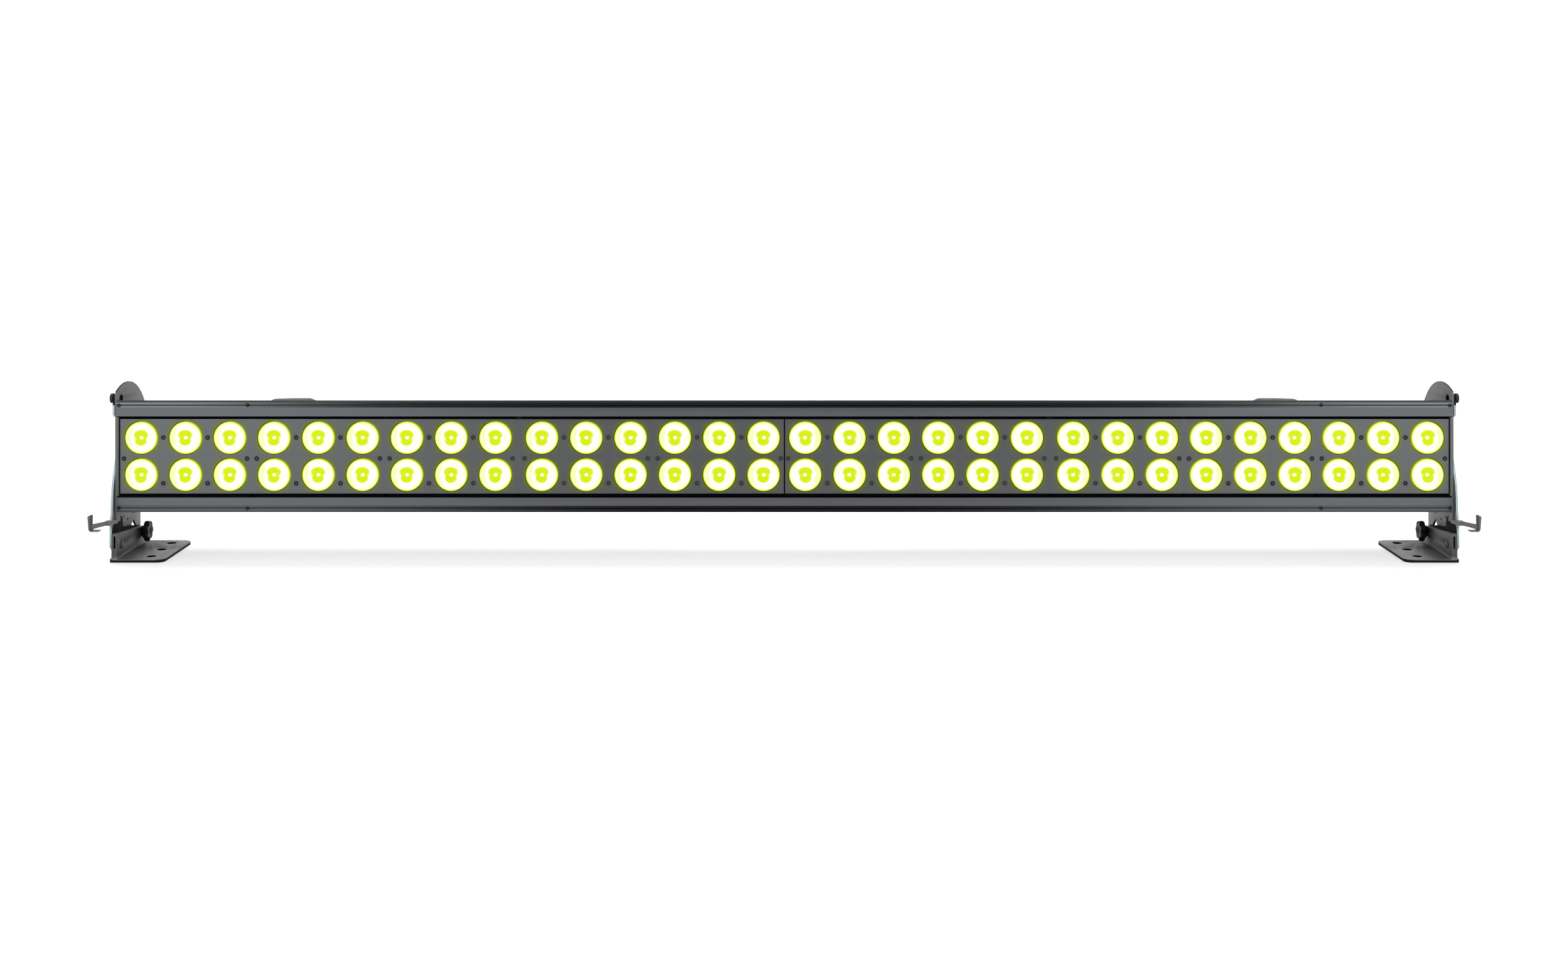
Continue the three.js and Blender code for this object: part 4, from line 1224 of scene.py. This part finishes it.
glass = plate(fillet([(-30.5, 5.5), (30.5, 5.5), (30.5, 28.5), (-30.5, 28.5)], 1.0), 112.6, 115.8, "Y", bevel=0.4)
piece("display_glass", glass, "head", ["window"], "display_window")
# a generic row of dim bars, no lettering
bars = [plate(fillet([(x, 11), (x + 3.2, 11), (x + 3.2, 11 + h), (x, 11 + h)], 0.4), 115.72, 115.86, "Y", bevel=0.05, res=1)
        for x, h in ((-20, 4), (-14, 7), (-8, 10), (-2, 12), (4, 9), (10, 6), (16, 3))]
piece("display_bars", joined(*bars), "head", ["segments"])

for i, x in enumerate(BUTTONS):
    cap = lathe(rounded_profile([(0, 108.6), (5.9, 108.6), (5.9, 110.5), (4.25, 110.5), (4.25, 116.2), (3.6, 117.1), (1.8, 117.35), (0, 117.2)],
                                [0, 0.3, 0.3, 0.2, 0.6, 0.5, 0.5, 0]), "Y", (x, -16), 36)
    piece(f"menu_key_{i + 1}", cap, f"menu_button_{i + 1}", ["black_soft"], f"menu_button_{i + 1}")

for name, x, mat in SOCKETS:
    shell = lathe(rounded_profile([(0, 103), (11.9, 103), (11.9, 115.65), (15.5, 115.65), (15.5, 118.1), (13.1, 118.1), (13.1, 129),
                                   (9.7, 129), (9.7, 107), (0, 107)], [0, 0.4, 0.2, 0.4, 0.7, 0.3, 0.8, 0.6, 0.4, 0]), "Y", (x, 0), 56,
                  (lambda a, r, h: r - 0.5 * (0.5 + 0.5 * math.cos(20 * a)) if (r > 13.0 and h > 118.4 and h < 128.2) else r)
                  if name.startswith("power") else None)
    kinds = [paint(shell, 0)]
    if name.startswith("power"):
        for a in (90, 210, 330):
            px, pz = x + 5.0 * math.cos(math.radians(a)), 5.0 * math.sin(math.radians(a))
            kinds.append(paint(block(px - 0.8, px + 0.8, 106.8, 120, pz - 1.9, pz + 1.9, 0.3), 1))
        kinds.append(paint(block(x - 1.4, x + 1.4, 112, 127.5, 8.0, 9.9, 0.3), 0))
        metal = "zinc"
    else:
        for a in (90, 210, 330):
            px, pz = x + 4.4 * math.cos(math.radians(a)), 4.4 * math.sin(math.radians(a))
            kinds.append(paint(lathe(rounded_profile([(0, 106.8), (1.2, 106.8), (1.2, 122), (0, 122.4)], 0.4), "Y", (px, pz), 20), 1))
        kinds.append(paint(block(x - 1.2, x + 1.2, 112, 128, -9.9, -8.4, 0.3), 0))
        metal = "gold"
    piece(name + "_shell", joined(*kinds), "head",
          [mat, metal], name)

panel_screws = []
back_turn = Matrix.Rotation(math.pi, 4, "Z")
for x in (-137, -94, -48, 48, 94, 137):
    for z in (-37, 37):
        panel_screws.append(moved(cap_screw(2.6, 1.2, 28), x, 115.3, z, back_turn))
for _, x, _ in SOCKETS:
    for dx, dz in ((-13.6, 13.6), (13.6, -13.6)):
        panel_screws.append(moved(cap_screw(2.0, 1.0, 24), x + dx, 115.3, dz, back_turn))
piece("panel_screws", joined(*panel_screws), "head", ["screw"])

# ------------------------------------------------------------------ stage, light, camera
floor = bpy.data.meshes.new("studio_floor")
prof = [(-9.0, 0.0), (3.2, 0.0)]
for i in range(1, 13):
    a = math.radians(90 * i / 12)
    prof.append((3.2 + 2.5 * math.sin(a), 2.5 * (1 - math.cos(a))))
prof.append((5.7, 9.0))
# the sheet also curls up a little at both sides
cross = [(11.0 + 1.4 * math.sin(math.radians(a)), 1.4 * (1 - math.cos(math.radians(a)))) for a in range(0, 91, 10)] + [(12.4, 2.2)]
cross = [(-x, z) for x, z in reversed(cross)] + cross
wide = len(cross)
fv = [(x, y, z + dz) for y, z in prof for x, dz in cross]
floor.from_pydata(fv, [], [(i * wide + j, i * wide + j + 1, (i + 1) * wide + j + 1, (i + 1) * wide + j)
                           for i in range(len(prof) - 1) for j in range(wide - 1)])
floor.polygons.foreach_set("use_smooth", [True] * len(floor.polygons))
fm = Nodes("paper_sweep")
fcol = fm.mix(fm.step(fm.noise(0.8, 3.0), 0.3, 0.7), (0.90, 0.90, 0.90), (0.92, 0.92, 0.92))
floor.materials.append(fm.set(Base_Color=fcol, Roughness=0.9, Specular_IOR_Level=0.1,
                              Emission_Color=(1.0, 1.0, 1.0), Emission_Strength=0.455))
fo = bpy.data.objects.new("studio_floor", floor)
scene.collection.objects.link(fo)

world = bpy.data.worlds.new("studio")
world.use_nodes = True
scene.world = world
bg = world.node_tree.nodes["Background"]
bg.inputs[0].default_value = (1.0, 1.0, 1.0, 1)
bg.inputs[1].default_value = 0.56


def softbox(name, place, aim, size, power, colour=(1, 1, 1)):
    li = bpy.data.lights.new(name, "AREA")
    li.shape = "RECTANGLE"
    li.size, li.size_y = size
    li.energy = power
    li.color = colour
    ob = bpy.data.objects.new(name, li)
    ob.location = place
    ob.rotation_euler = (Vector(aim) - Vector(place)).to_track_quat("-Z", "Y").to_euler()
    scene.collection.objects.link(ob)
    return ob


softbox("top_box", (0, 1.15, 3.1), (0, 0, 0.1), (4.6, 1.5), 80)


def spot(name, place, aim, power, cone, soft, colour=(1, 1, 1)):
    li = bpy.data.lights.new(name, "SPOT")
    li.energy = power
    li.color = colour
    li.spot_size = math.radians(cone)
    li.spot_blend = 1.0
    li.shadow_soft_size = soft
    ob = bpy.data.objects.new(name, li)
    ob.location = place
    ob.rotation_euler = (Vector(aim) - Vector(place)).to_track_quat("-Z", "Y").to_euler()
    scene.collection.objects.link(ob)
    return ob


on_bar = bpy.data.collections.new("lit_by_spots")
for ob in list(scene.objects):
    if ob.type == "MESH" and ob is not fo:
        on_bar.objects.link(ob)
for side in (-1, 1):
    lamp = spot(("left_spot", "right_spot")[side > 0], (side * 1.02, -0.95, 1.10), (side * 0.90, 0, 0.11), 62, 52, 0.14,
                (0.98, 1.0, 1.0))
    lamp.light_linking.receiver_collection = on_bar

cam = bpy.data.cameras.new("camera")
cam.sensor_fit = "HORIZONTAL"
cam.sensor_width = 36.0
cam.lens = 44.016
cam.shift_x = -0.000257
cam.shift_y = -0.21166
cam.clip_start, cam.clip_end = 0.05, 60
co = bpy.data.objects.new("camera", cam)
co.location = (0.0, (-2617.0 - MID_Y) / 1000, (PIVOT_H + 424.7) / 1000)
co.rotation_euler = (math.radians(90), 0, 0)
scene.collection.objects.link(co)
scene.camera = co
scene.view_settings.view_transform = "Standard"
scene.view_settings.look = "None"
scene.view_settings.exposure = 0.0
